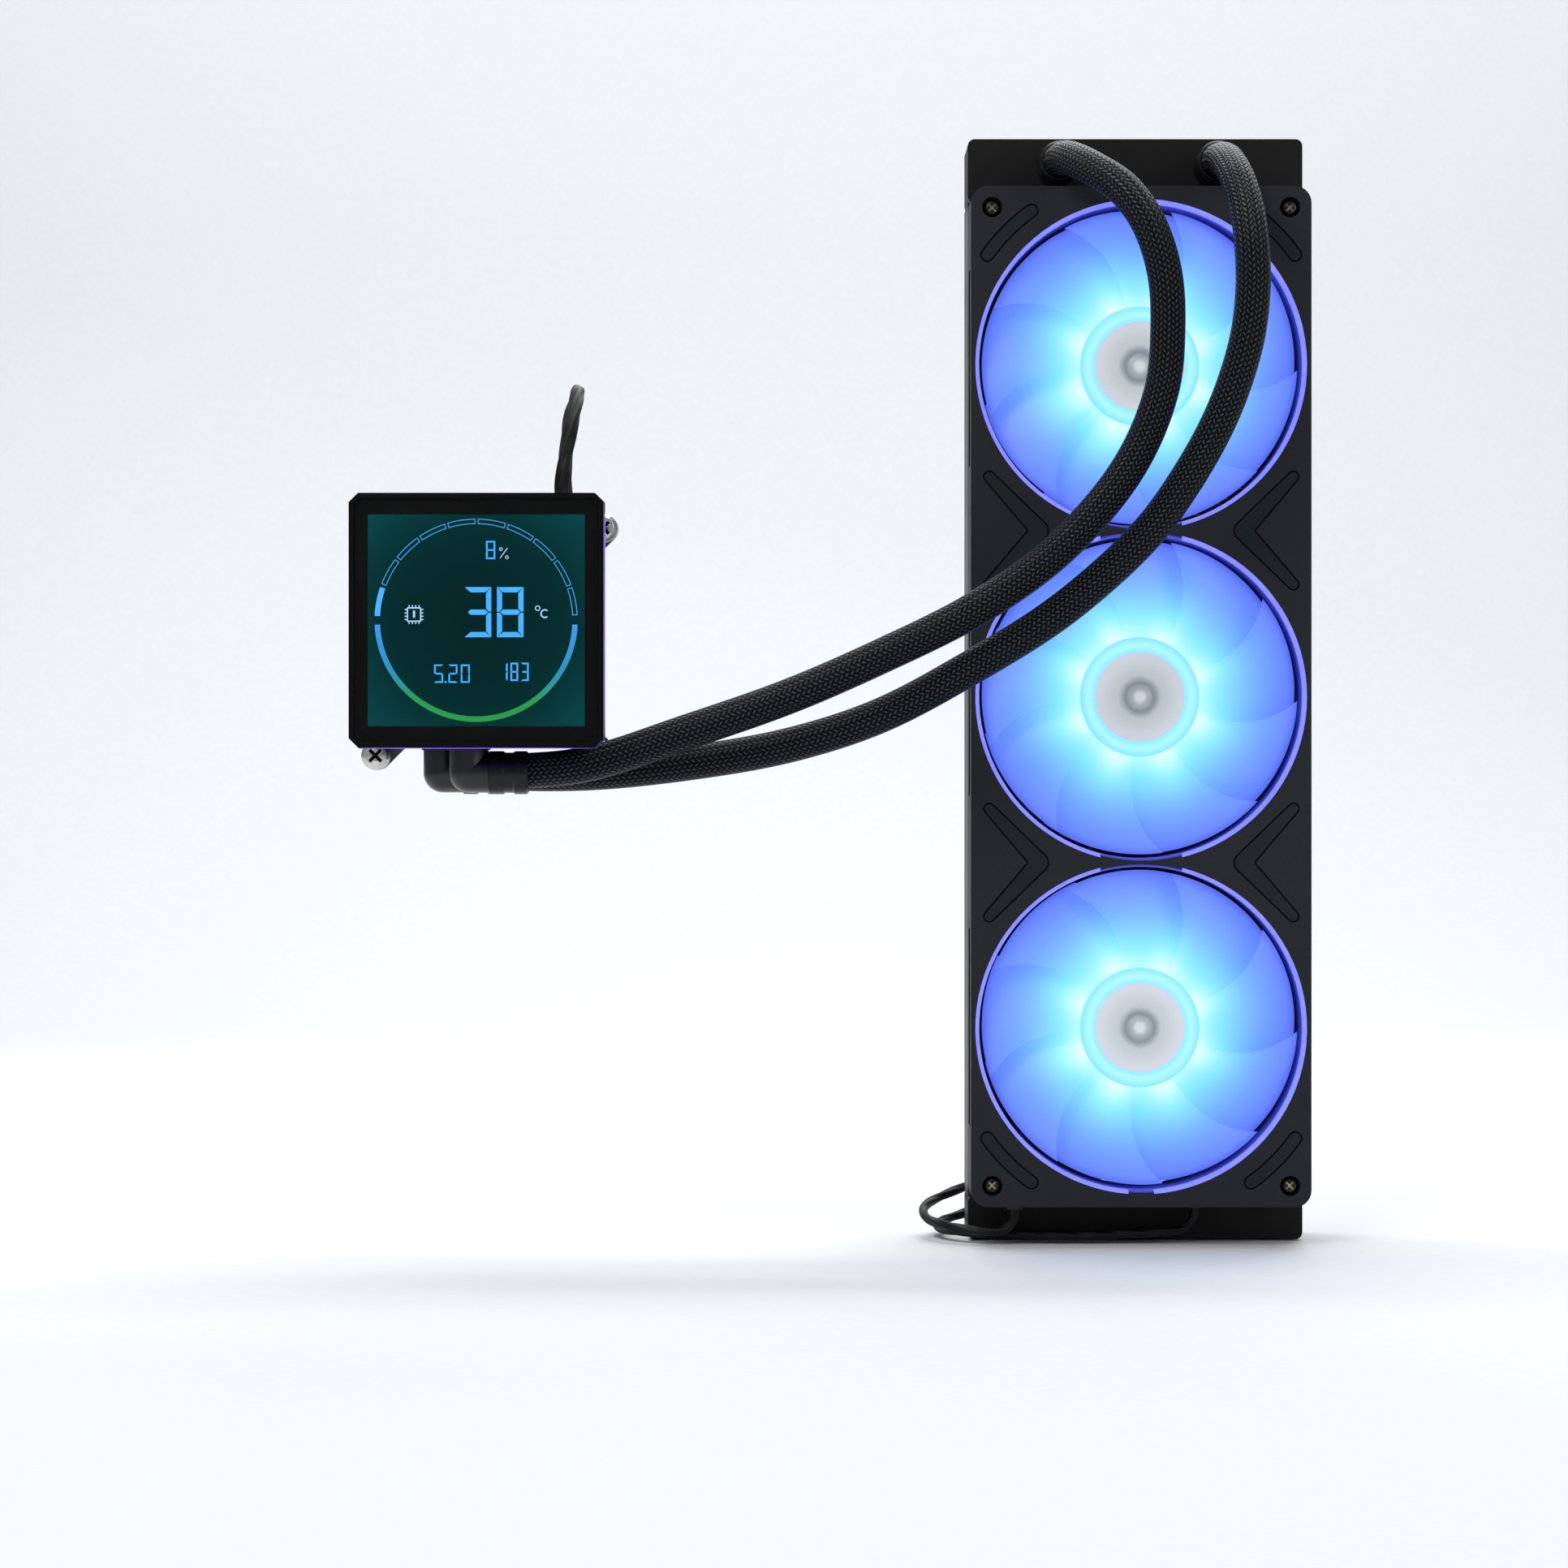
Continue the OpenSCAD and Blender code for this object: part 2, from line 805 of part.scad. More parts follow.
module rotor_cap(z) {
    back = hub_front - 0.8;
    color([0.85, 0.86, 0.88])
        turned(0, z)
            polygon([
                [0, back], [cap_r, back], [cap_r, back + 0.8], [cap_r - 1.5, back + 0.75],
                [6.8, back + 0.4], [6.2, back + 0.4], [5.6, back + 0.25], [4.2, back + 0.25],
                [3.2, back + 0.6], [1.5, back + 0.9], [0, back + 1]
            ]);
}

module rotor_cap_1() {
    rotor_cap(fan_z[0]);
}

module rotor_cap_2() {
    rotor_cap(fan_z[1]);
}

module rotor_cap_3() {
    rotor_cap(fan_z[2]);
}

module rotor_shaft(z) {
    color([0.75, 0.75, 0.77])
        rod(0, z, shaft_r, frame_back + 3, hub_front - 0.8);
}

module rotor_shaft_1() {
    rotor_shaft(fan_z[0]);
}

module rotor_shaft_2() {
    rotor_shaft(fan_z[1]);
}

module rotor_shaft_3() {
    rotor_shaft(fan_z[2]);
}

module rotor_magnet(z) {
    color([0.2, 0.2, 0.2])
        turned(0, z)
            polygon([
                [stator_r + 0.6, hub_back + 1], [hub_r - hub_wall, hub_back + 1],
                [hub_r - hub_wall, hub_front - 2.3], [stator_r + 0.6, hub_front - 2.3]
            ]);
}

module rotor_magnet_1() {
    rotor_magnet(fan_z[0]);
}

module rotor_magnet_2() {
    rotor_magnet(fan_z[1]);
}

module rotor_magnet_3() {
    rotor_magnet(fan_z[2]);
}

// ---------- leads ----------

module lead_grommets() {
    color([0.04, 0.04, 0.04]) {
        translate([-201, -108, housing_top])
            difference() {
                cylinder(r1 = 5, r2 = 4, h = 4);
                translate([0, 0, -1])
                    cylinder(r = pump_lead_d / 2 + 0.05, h = 6);
            }
        for (p = [fan_lead_route[0], light_lead_route[0]])
            translate([p[0], p[1], -frame_h / 2 - 1.4])
                difference() {
                    cylinder(r1 = 2.8, r2 = 3.2, h = 1.4 + 0.8);
                    translate([0, 0, -1])
                        cylinder(r = lead_d / 2 + 0.05, h = 4);
                }
    }
}

module fan_lead() {
    color([0.04, 0.04, 0.04])
        tube_along(fan_lead_route, lead_d, 8);
}

module light_lead() {
    color([0.04, 0.04, 0.04])
        tube_along(light_lead_route, lead_d, 8);
}

module pump_lead() {
    color([0.04, 0.04, 0.04])
        tube_along(pump_lead_route, pump_lead_d, 10);
}

module fan_lead_coil() {
    color([0.05, 0.05, 0.05])
        coil_solid(fan_coil_c, 3, lead_d, lead_coil_r);
}

module light_lead_coil() {
    color([0.05, 0.05, 0.05])
        coil_solid(light_coil_c, 3, lead_d, lead_coil_r);
}

module pump_lead_coil() {
    color([0.05, 0.05, 0.05])
        coil_solid(pump_coil_c, -40, pump_lead_d, pump_coil_r);
}

// A small board connector that lies on its coil
module plug(c, y, w, h, t) {
    translate([c[0] - w / 2, y, c[1] - h / 2])
        difference() {
            cube([w, t, h]);
            translate([1, 1, -1])
                cube([w - 2, t - 2, 7]);
        }
}

module fan_plug() {
    color([0.03, 0.03, 0.03])
        plug([fan_coil_c[0] + lead_coil_r, fan_coil_c[1] - 8], 3 + 1.5 * lead_d, 10, 14, 5.5);
}

module light_plug() {
    color([0.03, 0.03, 0.03])
        plug([light_coil_c[0] + lead_coil_r, light_coil_c[1] - 8], 3 + 1.5 * lead_d, 8, 14, 5.5);
}

module pump_plug() {
    color([0.03, 0.03, 0.03])
        plug([pump_coil_c[0] - pump_coil_r, pump_coil_c[1] + 9], -40 + 1.5 * pump_lead_d, 12, 16, 6);
}

// ---------- pump head ----------

module at_head() {
    translate([head_c[0], 0, head_c[1]])
        children();
}

module at_pump() {
    translate([pump_c[0], 0, pump_c[1]])
        children();
}

module display_glass() {
    color([0.02, 0.10, 0.11])
        at_head()
            slab(head_front - 1.7, head_front - 0.2)
                chamfered_rect(head_w - 3.4, head_w - 3.4, head_cut - 0.6);
}

module display_panel() {
    color([0.02, 0.18, 0.2])
        at_head()
            slab(head_front - 4, head_front - 1.8)
                square([screen_w, screen_h], center = true);
}

module display_bezel() {
    color([0.05, 0.05, 0.06])
        at_head()
            difference() {
                union() {
                    slab(strip_front, head_front - 1)
                        chamfered_rect(head_w, head_w, head_cut);
                    slab(head_front - 1 - eps, head_front)
                        chamfered_rect(head_w - 1.6, head_w - 1.6, head_cut - 0.4);
                }
                slab(head_front - 1.8, head_front + 1)
                    chamfered_rect(head_w - 3.3, head_w - 3.3, head_cut - 0.6);
                slab(head_front - 4.1, head_front)
                    square([screen_w + 0.1, screen_h + 0.1], center = true);
                slab(strip_front - 1, head_front - 4)
                    square([head_w - 9, head_w - 9], center = true);
            }
}

module light_strip() {
    color([0.5, 0.3, 1.0])
        at_head()
            slab(shell_front, strip_front)
                difference() {
                    chamfered_rect(head_w + 0.5, head_w + 0.5, head_cut);
                    chamfered_rect(head_w - 5, head_w - 5, head_cut - 1);
                }
}

module display_shell() {
    color([0.05, 0.05, 0.06])
        at_head()
            difference() {
                slab(housing_front, shell_front)
                    chamfered_rect(head_w, head_w, head_cut);
                slab(housing_front + 2, shell_front + 1)
                    chamfered_rect(head_w - 5, head_w - 5, head_cut - 1);
            }
}

module display_board() {
    color([0.04, 0.22, 0.12])
        at_head()
            slab(shell_front - 1.6, shell_front)
                square([head_w - 12, head_w - 12], center = true);
}

module pump_housing() {
    color([0.07, 0.07, 0.08])
        difference() {
            union() {
                at_pump()
                    slab(housing_back, housing_front)
                        chamfered_rect(housing_w, housing_w, 8);
                translate([cpu_c[0], 0, cpu_c[1]])
                    slab(plate_front, housing_back + eps)
                        rounded_rect(60, 60, 6);
            }
            rod(pump_c[0], pump_c[1], chamber_r, plate_front - 1, 97);
            difference() {
                rod(pump_c[0], pump_c[1], dry_r, 99, housing_front + 1);
                rod(pump_c[0], pump_c[1], can_r, 98, 115);
            }
            rod(pump_c[0], pump_c[1], can_r - 1.2, 96, 113.5);
            for (e = [elbow_front, elbow_rear]) {
                translate([e[0], -e[1], housing_bottom - 1])
                    cylinder(r = 5.05, h = 7.2);
                translate([e[0], -e[1], housing_bottom])
                    cylinder(r = 3.4, h = 11);
                rod(e[0], housing_bottom + 8, 3, 94, e[1]);
                translate([e[0], -94, housing_bottom + 8])
                    cylinder(r = 2.9, h = 13);
            }
            translate([-201, -108, housing_top - 3])
                cylinder(r = pump_lead_d / 2 + 0.1, h = 4);
        }
}

module pump_stator() {
    color([0.55, 0.35, 0.2])
        at_pump()
            slab(100, 112)
                difference() {
                    circle(dry_r - 2);
                    circle(can_r + 0.4);
                    for (a = [30:60:330])
                        rotate(a)
                            translate([19, 0])
                                circle(2.6);
                }
}

module impeller() {
    color([0.75, 0.76, 0.78]) {
        turned(pump_c[0], pump_c[1])
            polygon([
                [1.05, 89], [16, 89], [16, 90.2], [5, 90.2], [5, 96.5], [9.3, 96.5], [9.3, 98], [1.05, 98]
            ]);
        at_pump()
            slab(86, 89 + eps)
                for (a = [0:60:300])
                    rotate(a)
                        translate([4.5, -0.6])
                            square([11, 1.2]);
    }
}

module pump_magnet() {
    color([0.15, 0.15, 0.16])
        turned(pump_c[0], pump_c[1])
            polygon([[1.05, 98], [9.3, 98], [9.3, 111], [1.05, 111]]);
}

module pump_axle() {
    color([0.95, 0.95, 0.93])
        rod(pump_c[0], pump_c[1], 1, 85, 113.5);
}

module cold_plate() {
    color([0.80, 0.47, 0.30]) {
        translate([cpu_c[0], 0, cpu_c[1]])
            slab(plate_back, plate_front)
                rounded_rect(66, 66, 4);
        translate([pump_c[0], 0, pump_c[1]])
            slab(plate_front - eps, plate_front + 2.4)
                for (i = [-8:8])
                    translate([i * 2, 0])
                        square([0.8, 26], center = true);
    }
}

module cold_plate_seal() {
    color([0.03, 0.03, 0.03])
        turned(pump_c[0], pump_c[1])
            translate([chamber_r - 1.2, plate_front + 0.9])
                circle(0.9, $fn = 24);
}

module pump_seals() {
    color([0.03, 0.03, 0.03])
        for (e = [elbow_front, elbow_rear])
            translate([e[0], -e[1], housing_bottom - 1.3])
                rotate_extrude($fn = 72)
                    translate([elbow_r + 0.02, 0])
                        square([0.6, 1.28]);
}

module bracket() {
    color([0.5, 0.5, 0.52])
        translate([cpu_c[0], 0, cpu_c[1]])
            slab(plate_front, plate_front + 2)
                difference() {
                    union() {
                        square([70, 70], center = true);
                        for (a = [45:90:315])
                            rotate(a) {
                                translate([40, -5])
                                    square([cpu_pitch * 0.7071 - 40, 10]);
                                translate([cpu_pitch * 0.7071, 0])
                                    circle(5);
                            }
                    }
                    square([60.6, 60.6], center = true);
                    for (a = [45:90:315])
                        rotate(a)
                            translate([cpu_pitch * 0.7071, 0])
                                circle(1.8);
                }
}

module bracket_screws() {
    color([0.8, 0.8, 0.82])
        for (sx = [-1, 1], sz = [-1, 1])
            front_screw(
                cpu_c[0] + sx * cpu_pitch / 2, cpu_c[1] + sz * cpu_pitch / 2,
                plate_front + 5, 5, 3, stud_r, plate_back - 9.5, stud_r + 0.15, 6
            );
}

module bracket_springs() {
    color([0.7, 0.7, 0.72])
        for (sx = [-1, 1], sz = [-1, 1])
            turned(cpu_c[0] + sx * cpu_pitch / 2, cpu_c[1] + sz * cpu_pitch / 2)
                for (i = [0:3])
                    translate([2.6, plate_front + 2.4 + i * 0.72])
                        circle(0.4, $fn = 16);
}

top_tank();
bottom_tank();
header_plates();
core_tubes();
core_fins();
side_rails();
tank_ports();
fill_plug();
radiator_ferrules();
hose_left();
hose_right();
pump_ferrules();
elbow_fittings();
fan_frame();
frame_pads();
light_rings();
light_boards();
fan_stators();
fan_coils();
fan_bearings();
fan_screws();
rotor_1();
rotor_2();
rotor_3();
rotor_cap_1();
rotor_cap_2();
rotor_cap_3();
rotor_shaft_1();
rotor_shaft_2();
rotor_shaft_3();
rotor_magnet_1();
rotor_magnet_2();
rotor_magnet_3();
lead_grommets();
fan_lead();
fan_lead_coil();
fan_plug();
light_lead();
light_lead_coil();
light_plug();
pump_lead();
pump_lead_coil();
pump_plug();
display_glass();
display_panel();
display_bezel();
light_strip();
display_shell();
display_board();
pump_housing();
pump_stator();
impeller();
pump_magnet();
pump_axle();
cold_plate();
cold_plate_seal();
pump_seals();
bracket();
bracket_screws();
bracket_springs();
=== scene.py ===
"""Looks for the sealed liquid cooler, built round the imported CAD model.

Metres, +X right, +Z up. The fans and the display face -Y.
"""
import json
import math

import bmesh
import bpy
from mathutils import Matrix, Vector


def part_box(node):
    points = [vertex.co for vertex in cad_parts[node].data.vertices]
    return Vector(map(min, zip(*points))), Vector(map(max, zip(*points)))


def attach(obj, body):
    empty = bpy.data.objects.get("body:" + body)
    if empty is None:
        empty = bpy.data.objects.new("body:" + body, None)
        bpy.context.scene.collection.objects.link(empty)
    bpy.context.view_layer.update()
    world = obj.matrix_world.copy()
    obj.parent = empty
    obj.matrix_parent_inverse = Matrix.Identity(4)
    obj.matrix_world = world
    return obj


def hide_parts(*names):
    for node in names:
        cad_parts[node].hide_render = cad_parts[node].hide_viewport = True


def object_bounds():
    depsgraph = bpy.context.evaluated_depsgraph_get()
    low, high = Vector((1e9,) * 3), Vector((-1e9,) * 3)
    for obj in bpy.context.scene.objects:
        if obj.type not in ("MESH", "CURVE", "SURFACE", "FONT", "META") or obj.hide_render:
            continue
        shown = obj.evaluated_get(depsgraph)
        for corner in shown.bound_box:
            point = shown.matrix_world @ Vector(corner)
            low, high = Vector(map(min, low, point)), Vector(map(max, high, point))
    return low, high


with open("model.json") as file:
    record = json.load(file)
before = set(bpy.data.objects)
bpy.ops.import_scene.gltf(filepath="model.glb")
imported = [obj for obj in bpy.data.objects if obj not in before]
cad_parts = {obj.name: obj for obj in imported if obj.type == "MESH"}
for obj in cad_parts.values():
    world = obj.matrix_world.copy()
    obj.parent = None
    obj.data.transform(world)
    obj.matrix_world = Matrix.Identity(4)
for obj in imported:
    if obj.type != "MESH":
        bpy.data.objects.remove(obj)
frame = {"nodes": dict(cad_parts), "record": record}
cad_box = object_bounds()
NODES = frame["nodes"]
MM = 0.001
ROOT = "cooler"

# ---------- places, taken from the frame ----------


def centre(node):
    low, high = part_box(node)
    return (low + high) / 2


FANS = (1, 2, 3)
FAN_CENTRES = [centre(f"rotor_shaft_{i}") for i in FANS]
FAN_PITCH = FAN_CENTRES[0].z - FAN_CENTRES[1].z
FRAME_LOW, FRAME_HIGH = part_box("fan_frame")
PANEL_LOW, PANEL_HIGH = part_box("display_panel")
SCREEN = centre("display_panel")

# ---------- mesh helpers ----------


def new_object(name, data):
    made = bpy.data.objects.new(name, data)
    bpy.context.scene.collection.objects.link(made)
    return made


def mesh_object(name, points, faces, smooth=True):
    mesh = bpy.data.meshes.new(name)
    mesh.from_pydata([tuple(p) for p in points], [], faces)
    mesh.update()
    for polygon in mesh.polygons:
        polygon.use_smooth = smooth
    return new_object(name, mesh)


def box_into(bm, low, high):
    made = bmesh.ops.create_cube(bm, size=1.0)
    for v in made["verts"]:
        v.co = Vector([low[i] + (v.co[i] + 0.5) * (high[i] - low[i]) for i in range(3)])


def from_bmesh(name, bm, edge=0.25 * MM):
    """An object from a bmesh, with its edges a little rounded."""
    mesh = bpy.data.meshes.new(name)
    bm.to_mesh(mesh)
    bm.free()
    piece = new_object(name, mesh)
    bevel = piece.modifiers.new("edges", "BEVEL")
    bevel.width = edge
    bevel.segments = 2
    return piece


def dress(piece, slot, body=ROOT, material=None):
    """Give a piece its body and a material, the slot's own unless one is named."""
    piece.data.materials.clear()
    piece.data.materials.append(material or MATERIALS[slot])
    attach(piece, body)


# ---------- material helpers ----------

EDGE_R = 0.3 * MM


def srgb(*values):
    """Linear colour from the 0 to 255 values that a screen shows."""
    out = []
    for v in values:
        c = v / 255
        out.append(c / 12.92 if c <= 0.04045 else ((c + 0.055) / 1.055) ** 2.4)
    return (*out, 1.0)


def shade(colour, k):
    return (colour[0] * k, colour[1] * k, colour[2] * k, 1.0)


class Shader:
    """A material, new or there already, with short ways to add nodes to its principled shader."""

    def __init__(self, name, **sockets):
        self.material = bpy.data.materials.get(name) or bpy.data.materials.new(name)
        self.material.use_nodes = True
        self.tree = self.material.node_tree
        self.bsdf = self.tree.nodes["Principled BSDF"]
        for key, value in sockets.items():
            self.set(key.replace("_", " "), value)

    def put(self, socket, value):
        if isinstance(value, bpy.types.NodeSocket):
            self.tree.links.new(value, socket)
        else:
            socket.default_value = value

    def set(self, name, value):
        self.put(self.bsdf.inputs[name], value)

    def node(self, kind, inputs=(), **settings):
        node = self.tree.nodes.new("ShaderNode" + kind)
        for key, value in settings.items():
            setattr(node, key, value)
        for key, value in dict(inputs).items():
            self.put(node.inputs[key], value)
        return node

    def math(self, operation, a, b=0.0):
        return self.node("Math", {0: a, 1: b}, operation=operation).outputs[0]

    def add(self, a, b):
        return self.math("ADD", a, b)

    def less(self, a, b):
        return self.math("SUBTRACT", a, b)

    def times(self, a, b):
        return self.math("MULTIPLY", a, b)

    def by(self, a, b):
        return self.math("DIVIDE", a, b)

    def place(self):
        return self.node("TexCoord").outputs["Object"]

    def axes(self):
        """Sockets for x, y and z of the place on the object."""
        return self.node("SeparateXYZ", {0: self.place()}).outputs

    def scaled(self, x, y, z):
        return self.node("Mapping", {"Vector": self.place(), "Scale": (x, y, z)}).outputs[0]

    def noise(self, scale, detail=3.0, roughness=0.5, vector=None):
        return self.node("TexNoise", {
            "Vector": self.place() if vector is None else vector, "Scale": scale,
            "Detail": detail, "Roughness": roughness}).outputs["Fac"]

    def ramp(self, factor, stops):
        node = self.node("ValToRGB", {"Fac": factor})
        elements = node.color_ramp.elements
        while len(elements) < len(stops):
            elements.new(0.5)
        for element, (at, colour) in zip(elements, stops):
            element.position = at
            element.color = colour
        return node.outputs["Color"]

    def span(self, value, start, end, low=0.0, high=1.0):
        """Spread values from start to end over low to high, and hold them there beyond."""
        return self.node("MapRange", {"Value": value, "From Min": start, "From Max": end,
                                      "To Min": low, "To Max": high}).outputs[0]

    def mix(self, factor, one, other):
        return self.node("MixRGB", {"Fac": factor, "Color1": one, "Color2": other}).outputs[0]

    def mix_base(self, factor, colour):
        """Mix a plain colour into the base colour that the shader has already."""
        bare = self.bsdf.inputs["Base Color"].links[0].from_socket
        self.set("Base Color", self.mix(factor, bare, colour))

    def bump(self, height, strength, distance, edge=0.0):
        """Relief from a height, on surfaces whose edges look rounded by the edge's radius."""
        node = self.node("Bump", {"Height": height, "Strength": strength, "Distance": distance})
        if edge:
            rounded = self.node("Bevel", {"Radius": edge}, samples=4).outputs[0]
            self.put(node.inputs["Normal"], rounded)
        self.set("Normal", node.outputs[0])

    def glow(self, colour, strength):
        self.set("Emission Color", colour)
        self.set("Emission Strength", strength)


# ---------- materials that are not lit ----------


def moulded(name, colour, rough, grain=1800, relief=0.25, mottle=0.25, **sockets):
    """Moulded plastic, paint or rubber: fine grain, faint cloudiness and uneven gloss."""
    s = Shader(name, **sockets)
    fine = s.noise(grain, 4, 0.6)
    cloud = s.noise(60, 3, 0.5)
    both = s.add(s.times(fine, 0.55), s.times(cloud, 0.45))
    s.set("Base Color", s.ramp(both, [(0.3, shade(colour, 1 - mottle)),
                                      (0.7, shade(colour, 1 + mottle))]))
    s.set("Roughness", s.span(cloud, 0.0, 1.0, rough - 0.07, rough + 0.09))
    s.bump(fine, relief, 0.12 * MM, EDGE_R)
    return s.material


def metal(name, colour, rough, stretch=(1, 1, 40), relief=0.2, mottle=0.15):
    """Bare metal with fine lines drawn along one direction."""
    s = Shader(name, Metallic=1.0)
    lines = s.noise(220, 5, 0.65, s.scaled(*stretch))
    cloud = s.noise(90, 3, 0.5)
    s.set("Base Color", s.ramp(lines, [(0.25, shade(colour, 1 - mottle)),
                                       (0.75, shade(colour, 1 + mottle))]))
    s.set("Roughness", s.span(cloud, 0.0, 1.0, rough - 0.06, rough + 0.1))
    s.bump(lines, relief, 0.05 * MM, EDGE_R)
    return s.material


def braid(name, strands=26, helix=0.052):
    """Woven sleeve on the tube's own UV map: strands of two families, over two and under two, with
    a painted highlight along each strand's crown.

    Each family has that many strands, and a strand goes once round in the helix's length.
    """
    s = Shader(name, Specular_IOR_Level=0.12)
    uv = s.node("SeparateXYZ", {0: s.node("TexCoord").outputs["UV"]}).outputs
    around, along = uv[0], s.by(uv[1], helix)
    a = s.times(s.add(around, along), strands)
    b = s.add(s.times(s.less(around, along), strands), 40.0 * strands)
    in_a, in_b = s.math("FRACT", a), s.math("FRACT", b)
    cell = s.math("MODULO", s.add(s.math("FLOOR", a), s.math("FLOOR", b)), 4.0)
    under = s.math("GREATER_THAN", cell, 1.5)
    over = s.less(1.0, under)

    def arch(value, power):
        return s.math("POWER", s.math("SINE", s.times(value, math.pi)), power)

    def strand(across, along_it):
        rise = s.add(s.times(arch(s.times(along_it, 0.5), 1.0), 0.55), 0.45)
        return s.times(arch(across, 0.7), rise)

    def threads(across):
        return s.math("SINE", s.times(across, 8 * math.pi))

    lower = s.less(cell, 2.0)
    height = s.add(s.times(strand(in_b, s.add(cell, in_a)), over),
                   s.times(strand(in_a, s.add(lower, in_b)), under))
    fibres = s.add(s.times(threads(b), over), s.times(threads(a), under))
    # Painted highlight: the base colour turns pale grey near the top of each strand's float, in
    # place of the glint that light makes there; lower parts stay near black.
    s.set("Base Color", s.ramp(height, [(0.2, srgb(0, 0, 1)), (0.72, srgb(2, 3, 4)),
                                        (0.97, srgb(62, 67, 75))]))
    s.set("Roughness", s.span(height, 0.0, 1.0, 0.7, 0.2))
    s.bump(s.add(height, s.times(fibres, 0.06)), 1.0, 0.6 * MM)
    return s.material


def board(name):
    """Circuit board: solder mask with tracks showing as slightly raised, lighter lines."""
    s = Shader(name, Roughness=0.4)
    tracks = s.node("TexVoronoi", {"Vector": s.place(), "Scale": 260.0},
                    distance="MANHATTAN").outputs["Distance"]
    s.set("Base Color", s.ramp(tracks, [(0.30, srgb(14, 70, 40)), (0.36, srgb(24, 104, 60)),
                                        (0.50, srgb(10, 52, 30))]))
    s.bump(tracks, 0.3, 0.1 * MM)
    return s.material


def cover_glass(name):
    """Coated glass. Its index is below that of real glass, to keep grey reflections off."""
    s = Shader(name, Base_Color=(0.92, 0.96, 0.97, 1), Transmission_Weight=1.0, IOR=1.15,
               Specular_IOR_Level=0.03)
    smear = s.noise(18, 4, 0.6, s.scaled(1, 1, 3))
    s.set("Roughness", s.span(smear, 0.0, 1.0, 0.01, 0.05))
    return s.material


def pads_with_painted_joint_shade(name):
    """Rubber pads let into the frame, with painted shade round their edges: a dark line that
    stands in for the shadow in the joint.
    """
    moulded(name, srgb(33, 37, 42), 0.7, 2600, 0.5, 0.2, Specular_IOR_Level=0.05)
    s = Shader(name)
    rounded = s.node("Bevel", {"Radius": 0.8 * MM}, samples=8).outputs[0]
    flat = s.node("NewGeometry").outputs["True Normal"]
    alike = s.node("VectorMath", {0: rounded, 1: flat}, operation="DOT_PRODUCT").outputs["Value"]
    # Painted shade: within the bevel's radius of each sharp edge the base colour turns near black,
    # in place of the shadow in the pads' joint.
    s.mix_base(s.span(alike, 0.998, 0.96), srgb(0, 0, 1))
    return s.material


def screws_with_painted_recess_light(name, node, head_r, head_h, colour, rough, inside):
    """Screws at the corners of a node, seen from the front, with a colour painted into their
    recesses in place of the light and shade there.
    """
    metal(name, colour, rough, (1, 1, 1), 0.08)
    s = Shader(name)
    low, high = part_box(node)
    middle, half = (low + high) / 2, (high - low) / 2
    xyz = s.axes()
    squares = []
    for i in (0, 2):
        off_middle = s.math("ABSOLUTE", s.less(xyz[i], middle[i]))
        off_axis = s.less(off_middle, half[i] - head_r)
        squares.append(s.times(off_axis, off_axis))
    near = s.math("LESS_THAN", s.math("SQRT", s.add(*squares)), head_r * 0.62)
    deep = s.span(xyz[1], low.y + head_h * 0.15, low.y + head_h * 0.45)
    # Painted light and shade: deep in the recess the base colour turns to the given colour.
    s.mix_base(s.times(near, deep), inside)
    return s.material


# ---------- lit materials ----------

# Colour of a lit rotor from its axis outward, as (millimetres, colour): on its hub, and on its
# blades along each lamp's direction and midway between two lamps
HUB_GLOW = [
    (15.6, (150, 236, 250)), (17.0, (142, 237, 251)), (18.2, (170, 245, 253)),
    (19.4, (168, 243, 252)), (20.4, (146, 238, 250)), (21.1, (140, 230, 250)),
]
LAMP_GLOW = [
    (21, (232, 255, 255)), (23, (224, 255, 255)), (25, (205, 252, 255)),
    (28, (170, 246, 255)), (31, (140, 236, 254)), (35, (126, 212, 254)),
    (40, (113, 180, 254)), (45, (104, 155, 254)), (50, (100, 137, 252)),
    (54, (98, 126, 246)), (57, (70, 84, 220)),
]
BETWEEN_GLOW = [
    (21, (190, 250, 253)), (25, (163, 244, 254)), (28, (138, 234, 254)),
    (31, (126, 222, 255)), (35, (121, 200, 255)), (40, (111, 175, 254)),
    (45, (104, 152, 254)), (50, (100, 136, 252)), (54, (98, 125, 246)),
    (57, (70, 84, 220)),
]
# Colour of a hub cap from its middle outward, in the same form: painted light, the rings of shade
# and highlight that light makes on its dished middle
CAP_PAINTED_LIGHT = [
    (0, (204, 212, 215)), (1.4, (202, 209, 213)), (2.8, (162, 169, 175)),
    (4.0, (147, 155, 162)), (5.0, (128, 135, 144)), (5.7, (138, 147, 154)),
    (7.6, (184, 191, 197)), (10, (190, 196, 201)), (13, (200, 205, 211)),
    (14.9, (202, 208, 217)), (15.7, (196, 206, 228)),
]
DUCT_R = 57 * MM
HUB_GLOW_R = 21.15 * MM
GLOW_REACH = 60 * MM
CAP_REACH = 17 * MM
LAMPS = 8
STRIP_STRENGTH = 1.4


def from_nearest_axis(s):
    """Distance and direction from the nearest fan's axis, the same for all three fans."""
    xyz = s.axes()
    fan = s.math("FLOOR", s.add(s.by(xyz[2], FAN_PITCH), 0.5))
    fan = s.math("MAXIMUM", s.math("MINIMUM", fan, 1.0), -1.0)
    up = s.less(xyz[2], s.times(fan, FAN_PITCH))
    across = xyz[0]
    squares = s.add(s.times(across, across), s.times(up, up))
    return s.math("SQRT", squares), s.math("ARCTAN2", up, across)


def radial(s, factor, stops, reach):
    return s.ramp(factor, [(r * MM / reach, srgb(*c)) for r, c in stops])


